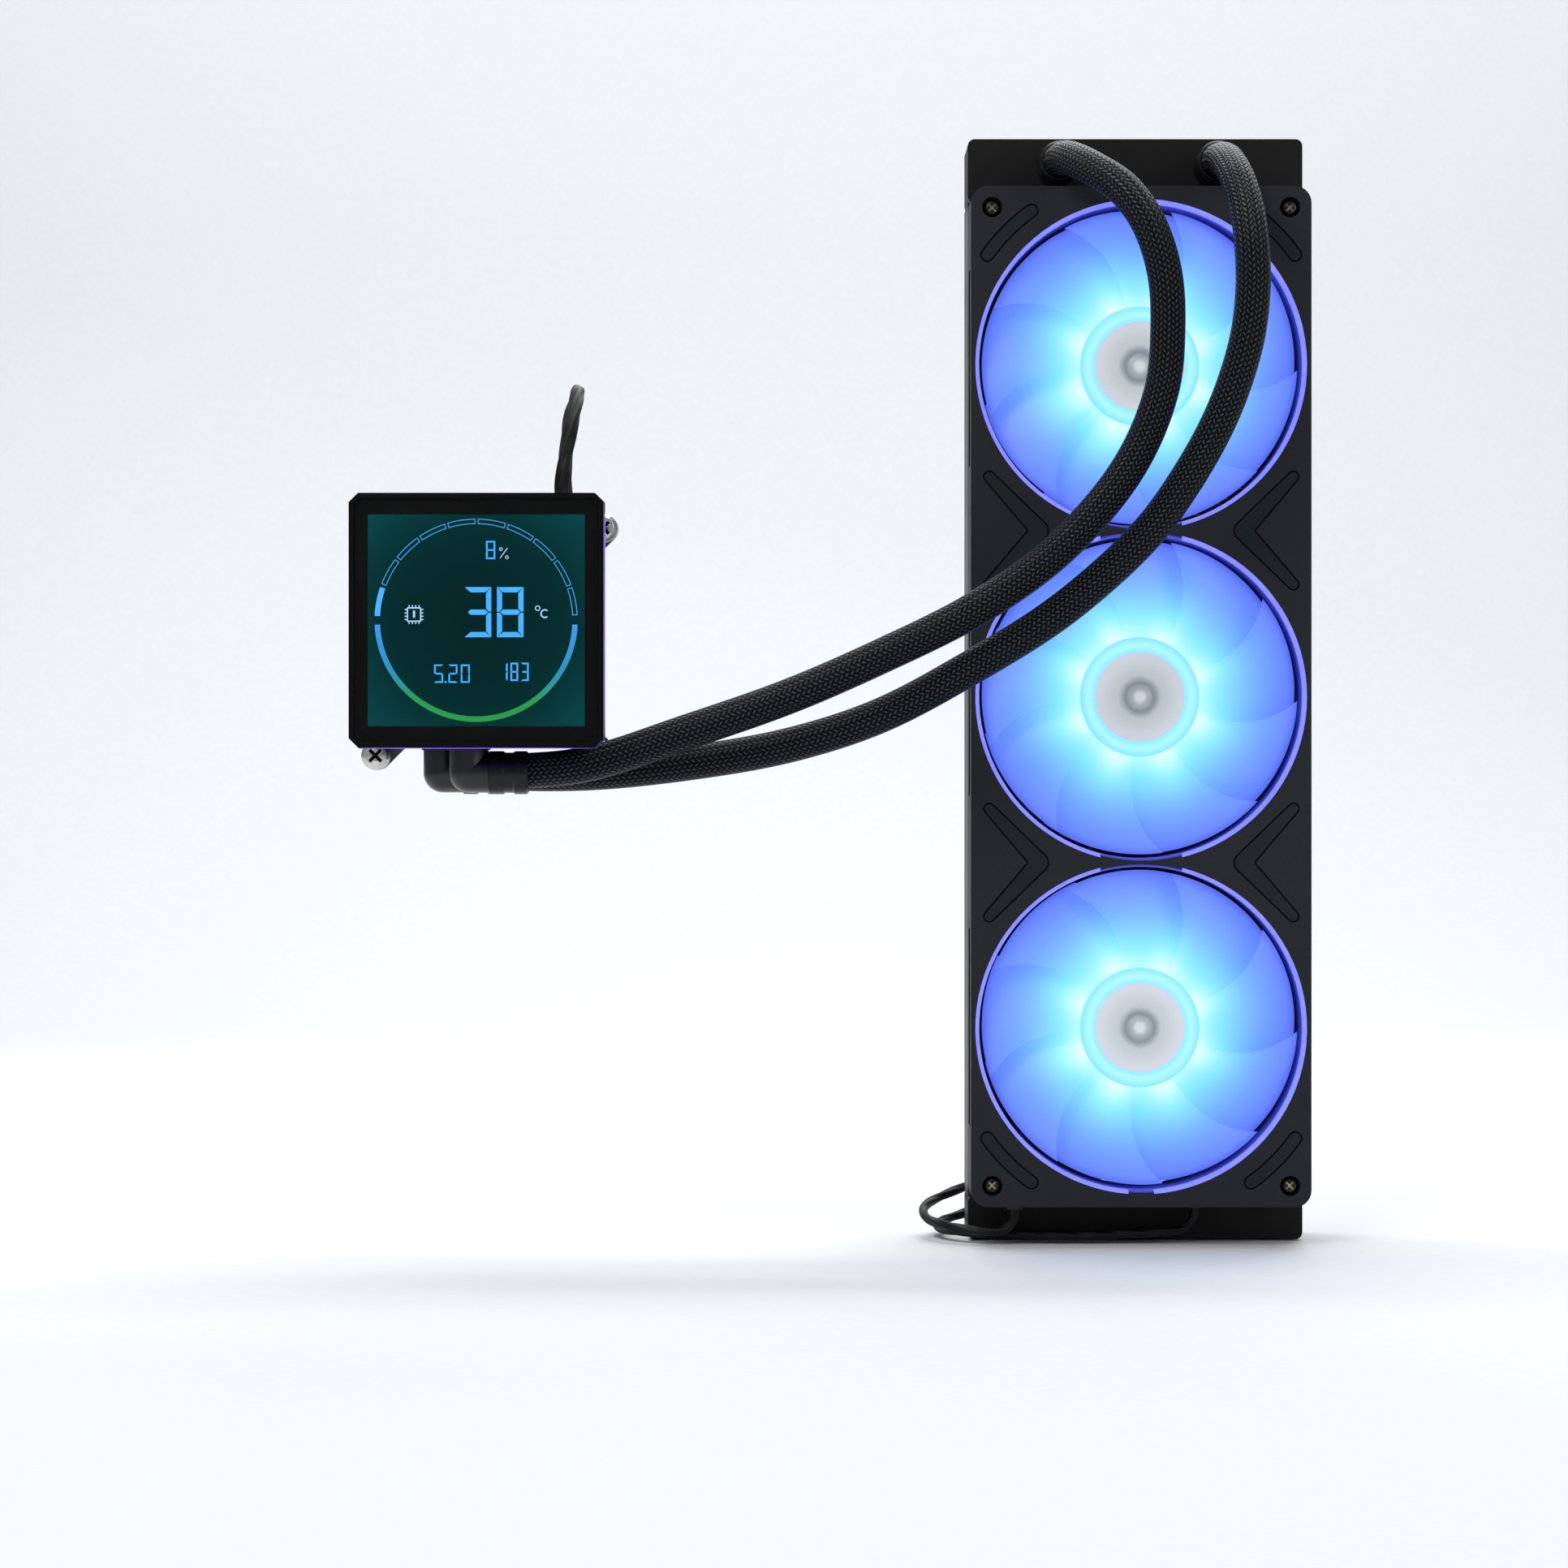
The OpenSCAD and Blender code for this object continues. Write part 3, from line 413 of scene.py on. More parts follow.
def rotor_glow(name, strength):
    """Frosted plastic lit from the hub: a glow that falls off outward, a petal at each lamp."""
    s = Shader(name, Roughness=0.42, Base_Color=srgb(60, 80, 130), Specular_IOR_Level=0.3)
    radius, angle = from_nearest_axis(s)
    cloud = s.noise(40, 2, 0.5)
    factor = s.by(s.add(radius, s.times(cloud, 1.2 * MM)), GLOW_REACH)
    petal = s.math("COSINE", s.add(s.times(angle, LAMPS), math.pi))
    petal = s.math("POWER", s.add(s.times(petal, 0.5), 0.5), 1.4)
    blades = s.mix(petal, radial(s, factor, BETWEEN_GLOW, GLOW_REACH),
                   radial(s, factor, LAMP_GLOW, GLOW_REACH))
    off_hub = s.span(radius, HUB_GLOW_R - 0.2 * MM, HUB_GLOW_R + 0.3 * MM)
    s.glow(s.mix(off_hub, radial(s, factor, HUB_GLOW, GLOW_REACH), blades), strength)
    s.bump(s.noise(900, 3, 0.5), 0.12, 0.1 * MM)
    return s.material


def lit_frame(name):
    """The frame's plastic, with the fans' light on the front of each duct's wall."""
    moulded(name, srgb(18, 22, 28), 0.58, 2200, 0.45, 0.18, Specular_IOR_Level=0.25)
    s = Shader(name)
    radius = from_nearest_axis(s)[0]
    inside = s.span(radius, DUCT_R + 0.2 * MM, DUCT_R + 0.95 * MM, 1.0, 0.0)
    near_wall = s.span(radius, DUCT_R - 4 * MM, DUCT_R - 1 * MM)
    front = s.span(s.axes()[1], FRAME_HIGH.y, FRAME_LOW.y)
    colour = s.ramp(front, [(0.0, srgb(8, 10, 70)), (0.7, srgb(44, 52, 200)),
                            (1.0, srgb(84, 90, 242))])
    s.glow(colour, s.times(s.times(inside, near_wall), s.math("POWER", front, 1.5)))
    return s.material


def cap_face(name):
    """Pale disc with painted light: soft rings of shade and highlight where light falls on its
    dished middle, and a glow as if lit a little from behind.
    """
    s = Shader(name, Roughness=0.42)
    grain = s.noise(700, 3, 0.5)
    radius = s.add(from_nearest_axis(s)[0], s.times(s.less(grain, 0.5), 0.6 * MM))
    factor = s.by(radius, CAP_REACH)
    # Painted light: the base colour is a darker copy of the rings, and the glow gives the lit
    # copy.
    unlit = [(r, [v * 0.75 for v in colour]) for r, colour in CAP_PAINTED_LIGHT]
    s.set("Base Color", radial(s, factor, unlit, CAP_REACH))
    s.glow(radial(s, factor, CAP_PAINTED_LIGHT, CAP_REACH), 0.6)
    s.bump(grain, 0.1, 0.1 * MM)
    return s.material


def glowing(name, colour, strength, rough=0.4, base=0.4):
    """Evenly lit plastic, whose own colour is a share of the colour that it gives out."""
    s = Shader(name, Roughness=rough, Base_Color=shade(colour, base))
    cloud = s.noise(120, 3, 0.5)
    s.glow(s.ramp(cloud, [(0.3, shade(colour, 0.86)), (0.7, shade(colour, 1.1))]), strength)
    s.bump(s.noise(1500, 2, 0.5), 0.1, 0.08 * MM)
    return s.material


def strip_glow(name):
    """Light guide round the display head, bright along its sides and dark at the corners."""
    glowing(name, srgb(108, 70, 226), STRIP_STRENGTH, 0.35, 0.3)
    s = Shader(name)
    xyz = s.axes()
    low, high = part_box("light_strip")
    middle, half = (low + high) / 2, (high - low) / 2
    u, v = [s.by(s.math("ABSOLUTE", s.less(xyz[i], middle[i])), half[i]) for i in (0, 2)]
    corner = s.math("MINIMUM", u, v)
    s.set("Emission Strength", s.span(corner, 0.6, 0.92, STRIP_STRENGTH, 0.06))
    return s.material


def screen_glow(name):
    """Lit display background: dark teal, a little brighter towards its edges."""
    s = Shader(name, Roughness=0.4, Base_Color=srgb(1, 6, 7), Specular_IOR_Level=0.03)
    xyz = s.axes()
    u, v = [s.span(xyz[i], PANEL_LOW[i], PANEL_HIGH[i], -1.0, 1.0) for i in (0, 2)]
    out = s.times(s.add(s.times(u, u), s.times(v, v)), 0.5)
    wave = s.noise(55, 4, 0.6)
    mixed = s.add(s.times(out, 0.8), s.times(wave, 0.25))
    s.glow(s.ramp(mixed, [(0.0, srgb(1, 30, 32)), (0.45, srgb(2, 44, 46)),
                          (1.0, srgb(6, 72, 76))]), 1.0)
    return s.material


def arc_glow(name):
    """Colour of the lower gauge arc: green at the bottom, blue at its ends."""
    s = Shader(name, Roughness=0.4, Base_Color=srgb(4, 20, 20))
    rise = s.span(s.axes()[2], PANEL_LOW.z, SCREEN.z)
    s.glow(s.ramp(rise, [(0.0, srgb(5, 150, 45)), (0.25, srgb(8, 150, 70)),
                         (0.55, srgb(20, 140, 190)), (1.0, srgb(52, 150, 240))]), 1.0)
    return s.material


# ---------- the record's material slots ----------

MATERIALS = {material.name: material for material in (
    moulded("tank_paint", srgb(16, 16, 17), 0.55, 1400, 0.3, 0.2, Specular_IOR_Level=0.22),
    moulded("core_paint", srgb(15, 15, 17), 0.55, 900, 0.2, 0.25),
    moulded("rail_paint", srgb(18, 18, 20), 0.45, 1400, 0.3, 0.2),
    metal("brass", srgb(196, 160, 96), 0.3, (1, 40, 1)),
    moulded("ferrule_black", srgb(26, 26, 28), 0.28, 700, 0.12, 0.2, Metallic=0.6),
    moulded("fitting_black", srgb(10, 10, 12), 0.3, 900, 0.15, 0.2),
    lit_frame("frame_plastic"),
    pads_with_painted_joint_shade("pad_rubber"),
    glowing("light_diffuser", srgb(122, 128, 255), 1.0, 0.3),
    board("board_green"),
    metal("lamination", srgb(150, 150, 156), 0.42, (1, 60, 1)),
    metal("copper_wire", srgb(190, 108, 56), 0.32, (1, 90, 1), 0.5),
    metal("bearing_bronze", srgb(172, 134, 82), 0.42),
    # Painted highlight: the pale warm colour in these black screws' recesses stands in for glints
    # of light there.
    screws_with_painted_recess_light("screw_black", "fan_screws", 3 * MM, 2 * MM, srgb(46, 46, 50), 0.26,
                    srgb(170, 152, 122)),
    rotor_glow("rotor_frost", 0.96),
    cap_face("cap_grey"),
    metal("steel", srgb(186, 186, 190), 0.24, (1, 30, 1)),
    moulded("magnet", srgb(52, 50, 50), 0.7, 900, 0.3, 0.25),
    moulded("lead_black", srgb(8, 8, 10), 0.48, 500, 0.2, 0.25, Specular_IOR_Level=0.2),
    moulded("connector_black", srgb(26, 26, 28), 0.5, 1600, 0.3, 0.2),
    cover_glass("glass_front"),
    screen_glow("screen"),
    moulded("head_black", srgb(4, 4, 5), 0.36, 1500, 0.05, 0.2, Specular_IOR_Level=0.15),
    strip_glow("strip_violet"),
    moulded("pump_plastic", srgb(14, 14, 16), 0.5, 1500, 0.4, 0.2),
    moulded("impeller_plastic", srgb(200, 202, 206), 0.4),
    moulded("ceramic", srgb(236, 236, 228), 0.18, 400, 0.05, 0.04),
    metal("copper", srgb(214, 134, 98), 0.22, (1, 1, 60), 0.25),
    moulded("seal_rubber", srgb(20, 20, 20), 0.6, 900, 0.2, 0.2),
    metal("bracket_steel", srgb(84, 84, 88), 0.4, (30, 1, 1), 0.2),
    # Painted shade: the dark colour in these chrome screws' recesses stands in for the shade
    # inside them.
    screws_with_painted_recess_light("screw_chrome", "bracket_screws", 5 * MM, 3 * MM, srgb(206, 204, 200), 0.2,
                    srgb(30, 30, 32)),
    metal("spring_steel", srgb(176, 176, 180), 0.26),
    braid("hose_braid"),
)}


def dress_cad_nodes():
    """Every CAD node takes the material of its slot in the record."""
    for entry in frame["record"]["subparts"]:
        node = NODES[entry["node"]]
        node.data.materials.clear()
        node.data.materials.append(MATERIALS[entry["material_slot"]])


dress_cad_nodes()

# ---------- core fins ----------

WATER_TUBES = 12
WATER_TUBE_T = 2 * MM
FIN_PITCH = 1.9 * MM
FIN_T = 0.12 * MM
FIN_BEND = 1.1 * MM
FIN_CLEAR = 0.05 * MM
FOLD_HALF = 0.22 * FIN_PITCH


def fine_fins():
    """Finely folded strips between the water tubes, bent so that no light passes."""
    low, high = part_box("core_fins")
    tube_low, tube_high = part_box("core_tubes")
    gaps = WATER_TUBES - 1
    pitch = (tube_high.x - tube_low.x - WATER_TUBE_T) / gaps
    half = (pitch - WATER_TUBE_T) / 2 - FIN_CLEAR
    folds = int((high.z - low.z - FIN_BEND) / FIN_PITCH) - 1
    depths = [(low.y, 0.0), ((low.y + high.y) / 2, FIN_BEND), (high.y, 0.0)]
    points, faces = [], []
    for gap in range(gaps):
        mid = tube_low.x + WATER_TUBE_T / 2 + pitch * (gap + 0.5)
        first = len(points)
        for k in range(2 * folds + 1):
            side = half if k % 2 else -half
            z = low.z + (k + 1) * FIN_PITCH / 2
            for dz in (-FOLD_HALF, FOLD_HALF):
                points += [(mid + side, y, z + dz + bend) for y, bend in depths]
        for k in range(first, len(points) - 3, 3):
            faces += [(k, k + 1, k + 4, k + 3), (k + 1, k + 2, k + 5, k + 4)]
    piece = mesh_object("fine_fins", points, faces, smooth=False)
    solid = piece.modifiers.new("sheet", "SOLIDIFY")
    solid.thickness = FIN_T
    dress(piece, "core_paint")
    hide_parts("core_fins")


fine_fins()

# ---------- rotors ----------

BLADES = 9
BLADE_T = 1.3 * MM
BLADE_SPAN = math.radians(360 / BLADES + 5)
BLADE_SWEEP = math.radians(16)
BLADE_MARGIN = 0.6 * MM
CLIMB_POWER = 1.35
EDGE_THINNING = 0.8
EDGE_POWER = 8
ROOT_R, TIP_R = 20.4 * MM, 55.7 * MM
HUB_R = ROOT_R + 0.8 * MM
HUB_BACK, HUB_FRONT = 34 * MM, 46.5 * MM
HUB_WALL = 1.4 * MM
HUB_FACE_T = 2.2 * MM
HUB_ROUND = 1 * MM
HUB_ROUND_STEPS = 6
CAP_R, CAP_T = 15.95 * MM, 0.8 * MM
SHAFT_R = 1.5 * MM


def turned(profile, axis, around=96):
    """Points and faces of a closed profile of (radius, distance forward) turned on an axis."""
    n = len(profile)
    points = []
    for k in range(around):
        a = 2 * math.pi * k / around
        points += [(axis.x + r * math.cos(a), -f, axis.z + r * math.sin(a)) for r, f in profile]
    faces = []
    for k in range(around):
        m = (k + 1) % around
        faces += [(k * n + i, k * n + (i + 1) % n, m * n + (i + 1) % n, m * n + i)
                  for i in range(n)]
    return points, faces


def blade(axis, turn, steps=26, rings=14):
    """One swept blade: a thin skin that climbs forward as it turns about the hub."""
    back, front = HUB_BACK + BLADE_MARGIN, HUB_FRONT - BLADE_MARGIN - BLADE_T
    points, faces = [], []
    for side in (-1, 1):
        for j in range(rings + 1):
            v = j / rings
            r = ROOT_R + (TIP_R - ROOT_R) * v
            for i in range(steps + 1):
                u = i / steps
                a = BLADE_SPAN * (u - 0.5) + BLADE_SWEEP * v * v + turn
                climb = 1 - (1 - u) ** CLIMB_POWER
                thin = 1 - EDGE_THINNING * abs(2 * u - 1) ** EDGE_POWER
                f = back + (front - back) * climb + BLADE_T / 2 * (1 + side * thin)
                points.append((axis.x + r * math.cos(a), -f, axis.z + r * math.sin(a)))
    row, sheet = steps + 1, (rings + 1) * (steps + 1)
    for j in range(rings):
        for i in range(steps):
            k = j * row + i
            faces.append((k, k + row, k + row + 1, k + 1))
            faces.append((sheet + k, sheet + k + 1, sheet + k + row + 1, sheet + k + row))
    rim = [j * row for j in range(rings)]
    rim += [rings * row + i for i in range(steps)]
    rim += [j * row + steps for j in range(rings, 0, -1)]
    rim += list(range(steps, 0, -1))
    for k, m in zip(rim, rim[1:] + rim[:1]):
        faces.append((k, m, sheet + m, sheet + k))
    return points, faces


def hub_profile():
    """Half section of the hub: an open cup with a rounded front edge and a seat for its cap."""
    inner_r = HUB_R - HUB_WALL
    inner_front = HUB_FRONT - HUB_FACE_T
    angles = [math.pi / 2 * k / HUB_ROUND_STEPS for k in range(HUB_ROUND_STEPS + 1)]
    rounded = [(HUB_R - HUB_ROUND * (1 - math.cos(t)), HUB_FRONT - HUB_ROUND * (1 - math.sin(t)))
               for t in angles]
    return [
        (SHAFT_R, inner_front), (inner_r, inner_front), (inner_r, HUB_BACK), (HUB_R, HUB_BACK),
        *rounded,
        (CAP_R, HUB_FRONT), (CAP_R, HUB_FRONT - CAP_T), (SHAFT_R, HUB_FRONT - CAP_T),
    ]


def add_rotor(number):
    axis = FAN_CENTRES[number - 1]
    points, faces = turned(hub_profile(), axis)
    for b in range(BLADES):
        more, skin = blade(axis, 2 * math.pi * b / BLADES)
        faces += [tuple(v + len(points) for v in face) for face in skin]
        points += more
    piece = mesh_object(f"rotor_{number}_fine", points, faces)
    split = piece.modifiers.new("creases", "EDGE_SPLIT")
    split.split_angle = math.radians(35)
    dress(piece, "rotor_frost", f"fan_rotor_{number}")
    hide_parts(f"rotor_{number}")


for fan in FANS:
    add_rotor(fan)

# ---------- leads' connectors ----------

NOSE_H = 1.2 * MM
NOSE_INSET = 0.8 * MM
RIB_RISE = 0.6 * MM
LATCH_RISE = 0.8 * MM
LATCH_LOW, LATCH_TOP = 1.8 * MM, 3 * MM
SINK = 0.2 * MM


def connector(name, node, pins):
    """A small latched connector: housing, a rib behind each pin, a latch and a narrower nose."""
    low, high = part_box(node)
    width = high.x - low.x
    back = high.y - LATCH_RISE
    bm = bmesh.new()
    box_into(bm, (low.x, low.y, low.z + NOSE_H), (high.x, back, high.z))
    channel = width / (pins + 0.6)
    for k in range(pins):
        x = low.x + channel * (k + 0.55)
        box_into(bm, (x, back - SINK, low.z + LATCH_TOP),
                 (x + channel * 0.55, back + RIB_RISE, high.z - 2 * MM))
    box_into(bm, (low.x + width * 0.3, back - 2 * SINK, low.z + LATCH_LOW),
             (high.x - width * 0.3, high.y, low.z + LATCH_TOP))
    box_into(bm, (low.x + NOSE_INSET, low.y + NOSE_INSET, low.z),
             (high.x - NOSE_INSET, back - NOSE_INSET, low.z + NOSE_H + SINK))
    piece = from_bmesh(name, bm)
    dress(piece, "connector_black")
    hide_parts(node)
    return piece


fan_connector = connector("fan_connector", "fan_plug", 4)
light_connector = connector("light_connector", "light_plug", 3)
pump_connector = connector("pump_connector", "pump_plug", 3)

# ---------- hoses and leads: the routes repeat those of the CAD, in millimetres ----------

HOSE_D = 12 * MM
LEAD_D = 3.5 * MM
PUMP_LEAD_D = 5 * MM
ROUTE_STEPS = 2
HOSE_STEPS, HOSE_SIDES = 20, 64
LEAD_STEPS, LEAD_SIDES = 4, 24
WIRES = 4
WIRE_GROOVE = 0.24
LAY_IN_DIAMETERS = 14
COIL_TURNS = 2.5
COIL_STEPS = 18
HOSE_LEFT_ROUTE = [
    (-28, -30, 190), (-28, -46, 190), (-26, -63, 188), (-19, -78, 182), (-9, -89, 173),
    (-1, -95, 160), (4, -97, 143), (5, -97, 124), (3, -97, 104), (-5, -97, 83), (-18, -98, 64),
    (-37, -99, 45), (-62, -101, 28), (-92, -103, 13), (-124, -106, -1), (-158, -110, -13),
    (-192, -113, -24), (-222, -113.5, -27),
]
HOSE_RIGHT_ROUTE = [
    (28, -30, 190), (28, -46, 190), (29, -63, 187), (31, -79, 178), (33, -89, 166),
    (34, -95, 152), (34, -97, 137), (32, -97, 121), (27, -97, 104), (20, -97, 88), (10, -97, 71),
    (-1, -97, 56), (-16, -97, 41), (-36, -96, 25), (-62, -96, 9), (-92, -96, -7),
    (-122, -96, -17), (-154, -97, -23), (-192, -98, -27), (-232, -98, -27),
]
FAN_LEAD_ROUTE = [
    (20, -38, -180), (20, -38, -184), (18.5, -38, -187), (15.5, -38, -189), (11, -38, -190),
    (3, -38, -190.5), (-8, -38, -191), (-20, -38, -191.5), (-37, -37, -191.5), (-54, -34, -191),
    (-65, -27, -191), (-70, -15, -191), (-68, -3, -190), (-60, 4, -188), (-49, 4.5, -183),
    (-38, 3, -174), (-29, 3, -161), (-24, 3, -146), (-23, 3, -130),
]
LIGHT_LEAD_ROUTE = [
    (-44, -44, -180), (-44, -44, -184), (-45.5, -43.5, -187), (-49, -43, -189),
    (-55, -42, -189.5), (-62, -40, -189), (-69, -35, -188), (-74, -26, -187), (-75.5, -15, -185),
    (-72.5, -4, -183), (-64, 4, -180), (-53, 5, -175), (-44, 4, -164), (-39, 3, -146),
    (-36, 3, -126), (-35, 3, -106), (-35, 3, -85),
]
PUMP_LEAD_ROUTE = [
    (-201, -108, 62), (-201, -108, 72), (-199, -106, 85), (-197, -97, 98), (-197, -85, 104),
    (-198, -71, 104), (-201, -59, 97), (-203, -50, 84), (-203, -44, 69), (-202, -41, 54),
    (-201, -40, 38), (-200.5, -40, 21),
]


def metres(route):
    return [Vector(p) * MM for p in route]


def smooth_route(route, per_span):
    """Points on one smooth curve through the route's points."""
    ends = [2 * route[0] - route[1]] + list(route) + [2 * route[-1] - route[-2]]
    points = []
    for i in range(1, len(ends) - 2):
        a, b, c, d = ends[i - 1:i + 3]
        for k in range(per_span):
            t = k / per_span
            points.append(0.5 * (
                2 * b + (c - a) * t + (2 * a - 5 * b + 4 * c - d) * t * t
                + (3 * b - a - 3 * c + d) * t ** 3
            ))
    return points + [Vector(route[-1])]


def distances(points):
    """How far along the line of points each of them lies."""
    along = [0.0]
    for a, b in zip(points, points[1:]):
        along.append(along[-1] + (b - a).length)
    return along


def directions(points):
    """Directions ahead and to one side at each point, carried along with little twist."""
    pairs = []
    side = Vector((0.0, 0.0, 1.0))
    for i in range(len(points)):
        ahead = (points[min(i + 1, len(points) - 1)] - points[max(i - 1, 0)]).normalized()
        side = side - side.dot(ahead) * ahead
        if side.length < 1e-6:
            side = ahead.orthogonal()
        side.normalize()
        pairs.append((ahead, side.copy()))
    return pairs


def tube(name, points, radius, around, wires=0, lay=1.0):
    """A closed tube with a UV map: u once round, v in metres along it.

    With wires, its section is that many conductors side by side, twisted once in each lay.
    """
    along = distances(points)
    rings = []
    for point, gone, (ahead, side) in zip(points, along, directions(points)):
        other = ahead.cross(side)
        for k in range(around):
            a = 2 * math.pi * k / around
            r = radius
            if wires:
                bulge = abs(math.cos(wires / 2 * (a - 2 * math.pi * gone / lay)))
                r *= 1 - WIRE_GROOVE + WIRE_GROOVE * bulge
            rings.append(point + r * (math.cos(a) * side + math.sin(a) * other))
    faces = []
    for i in range(len(points) - 1):
        here, there = i * around, (i + 1) * around
        for k in range(around):
            n = (k + 1) % around
            faces.append((here + k, here + n, there + n, there + k))
    faces.append(tuple(reversed(range(around))))
    faces.append(tuple((len(points) - 1) * around + k for k in range(around)))
    piece = mesh_object(name, rings, faces)
    uv = piece.data.uv_layers.new(name="UVMap")
    for polygon in piece.data.polygons:
        corners = list(polygon.vertices)
        columns = {v % around for v in corners}
        wraps = len(corners) == 4 and {0, around - 1} <= columns
        for loop, v in zip(polygon.loop_indices, corners):
            column = v % around
            if wraps and column == 0:
                column = around
            uv.data[loop].uv = (column / around, along[v // around])
    return piece


def coil(start, middle, pitch):
    """Turns of a lead that begin at start and wind clockwise round middle, from the front."""
    arm = start - middle
    radius = math.hypot(arm.x, arm.z)
    first = math.atan2(arm.z, arm.x)
    points = []
    for k in range(1, round(COIL_TURNS * COIL_STEPS) + 1):
        gone = k / COIL_STEPS
        a = first - 2 * math.pi * gone
        points.append(Vector((middle.x + radius * math.cos(a), start.y + pitch * gone,
                              middle.z + radius * math.sin(a))))
    return points


TIE_W = 3 * MM
TIE_T = 0.9 * MM
TIE_STEPS = 32
TIE_LOCK = Vector((4.4, 3.6, 2.6)) * MM
TIE_TAIL = Vector((0.9 * TIE_W, 0.9 * TIE_T, 2 * TIE_LOCK.z))


def tie(name, start, middle, diameter):
    """A cable tie round three turns of a coil, a quarter turn on from its start.

    Its lock and its cut tail stand inside the coil.
    """
    outward = math.copysign(1, middle.x - start.x)
    at = Vector((middle.x, start.y + COIL_TURNS / 2 * diameter,
                 middle.z + outward * abs(middle.x - start.x)))
    section = ((0, -TIE_W / 2), (0, TIE_W / 2), (TIE_T, TIE_W / 2), (TIE_T, -TIE_W / 2))
    bm = bmesh.new()
    rings = []
    for k in range(TIE_STEPS):
        a = 2 * math.pi * (k + 0.5) / TIE_STEPS
        normal = Vector((0, math.sin(a), math.cos(a)))
        turn_at = at + Vector((0, math.copysign(diameter, normal.y), 0))
        rings.append([bm.verts.new(turn_at + normal * (diameter / 2 + t) + Vector((w, 0, 0)))
                      for t, w in section])
    for one, two in zip(rings, rings[1:] + rings[:1]):
        for k in range(4):
            m = (k + 1) % 4
            bm.faces.new((one[k], one[m], two[m], two[k]))
    inner = at.z - outward * diameter / 2
    for size in (TIE_LOCK, TIE_TAIL):
        tip = inner - outward * size.z
        box_into(bm, (at.x - size.x / 2, at.y - size.y / 2, min(inner, tip)),
                 (at.x + size.x / 2, at.y + size.y / 2, max(inner, tip)))
    bmesh.ops.recalc_face_normals(bm, faces=bm.faces)
    piece = from_bmesh(name, bm)
    dress(piece, "connector_black")
    return piece


def hose(node, route):
    """A braided hose from its ferrule on the radiator to its elbow."""
    fine = smooth_route(metres(route), HOSE_STEPS)
    piece = tube(node + "_braid", fine, HOSE_D / 2, HOSE_SIDES)
    dress(piece, "hose_braid")
    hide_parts(node)


def lead(node, route, diameter):
    """A lead from its grommet to its coil and plug, which lie hidden behind the object."""
    straight = smooth_route(metres(route), ROUTE_STEPS)
    middle = centre(node + "_coil")
    path = straight + coil(straight[-1], middle, diameter)
    piece = tube(node + "_cable", smooth_route(path, LEAD_STEPS), diameter / 2, LEAD_SIDES,
                 wires=WIRES, lay=LAY_IN_DIAMETERS * diameter)
    dress(piece, "lead_black")
    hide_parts(node, node + "_coil")
    strap = tie(node + "_tie", straight[-1], middle, diameter)


hose("hose_left", HOSE_LEFT_ROUTE)
hose("hose_right", HOSE_RIGHT_ROUTE)
lead("fan_lead", FAN_LEAD_ROUTE, LEAD_D)
lead("light_lead", LIGHT_LEAD_ROUTE, LEAD_D)
lead("pump_lead", PUMP_LEAD_ROUTE, PUMP_LEAD_D)

# ---------- display picture, in millimetres from the screen's centre ----------

MARK_T = 0.05 * MM
SEGMENTS = {
    "0": "abcdef", "1": "bc", "2": "abged", "3": "abgcd", "5": "afgcd", "8": "abcdefg",
}
# A reading's figures, its lower left corner (x, z), a figure's width and height, the strokes'
# thickness and the gap between figures
MAIN_READING = ("38", -4.0, -5.8, 9.2, 17.0, 2.1, 1.5)
SMALL_READINGS = (
    ("8", 3.2, 20.2, 3.2, 6.2, 0.7, 0.8),
    ("5.20", -14.0, -20.8, 3.1, 6.2, 0.65, 1.0),
    ("183", 7.8, -20.2, 2.7, 6.2, 0.7, 0.8),
)
GAUGE_R0 = 31.9
GAUGE_R1 = 33.7
GAUGE_LINE = 0.3
GAUGE_END = 2.5
GAUGE_BLOCKS = 9
BLOCK_ANGLE = (180 - 2 * GAUGE_END) / (GAUGE_BLOCKS + 1)
CHIP_X, CHIP_Z, CHIP_HALF = -20.6, 1.9, 2.2
CHIP_LINE = 0.4
CHIP_PINS = (-1.65, -0.55, 0.55, 1.65)
CHIP_PIN_L, CHIP_PIN_W = 0.9, 0.36


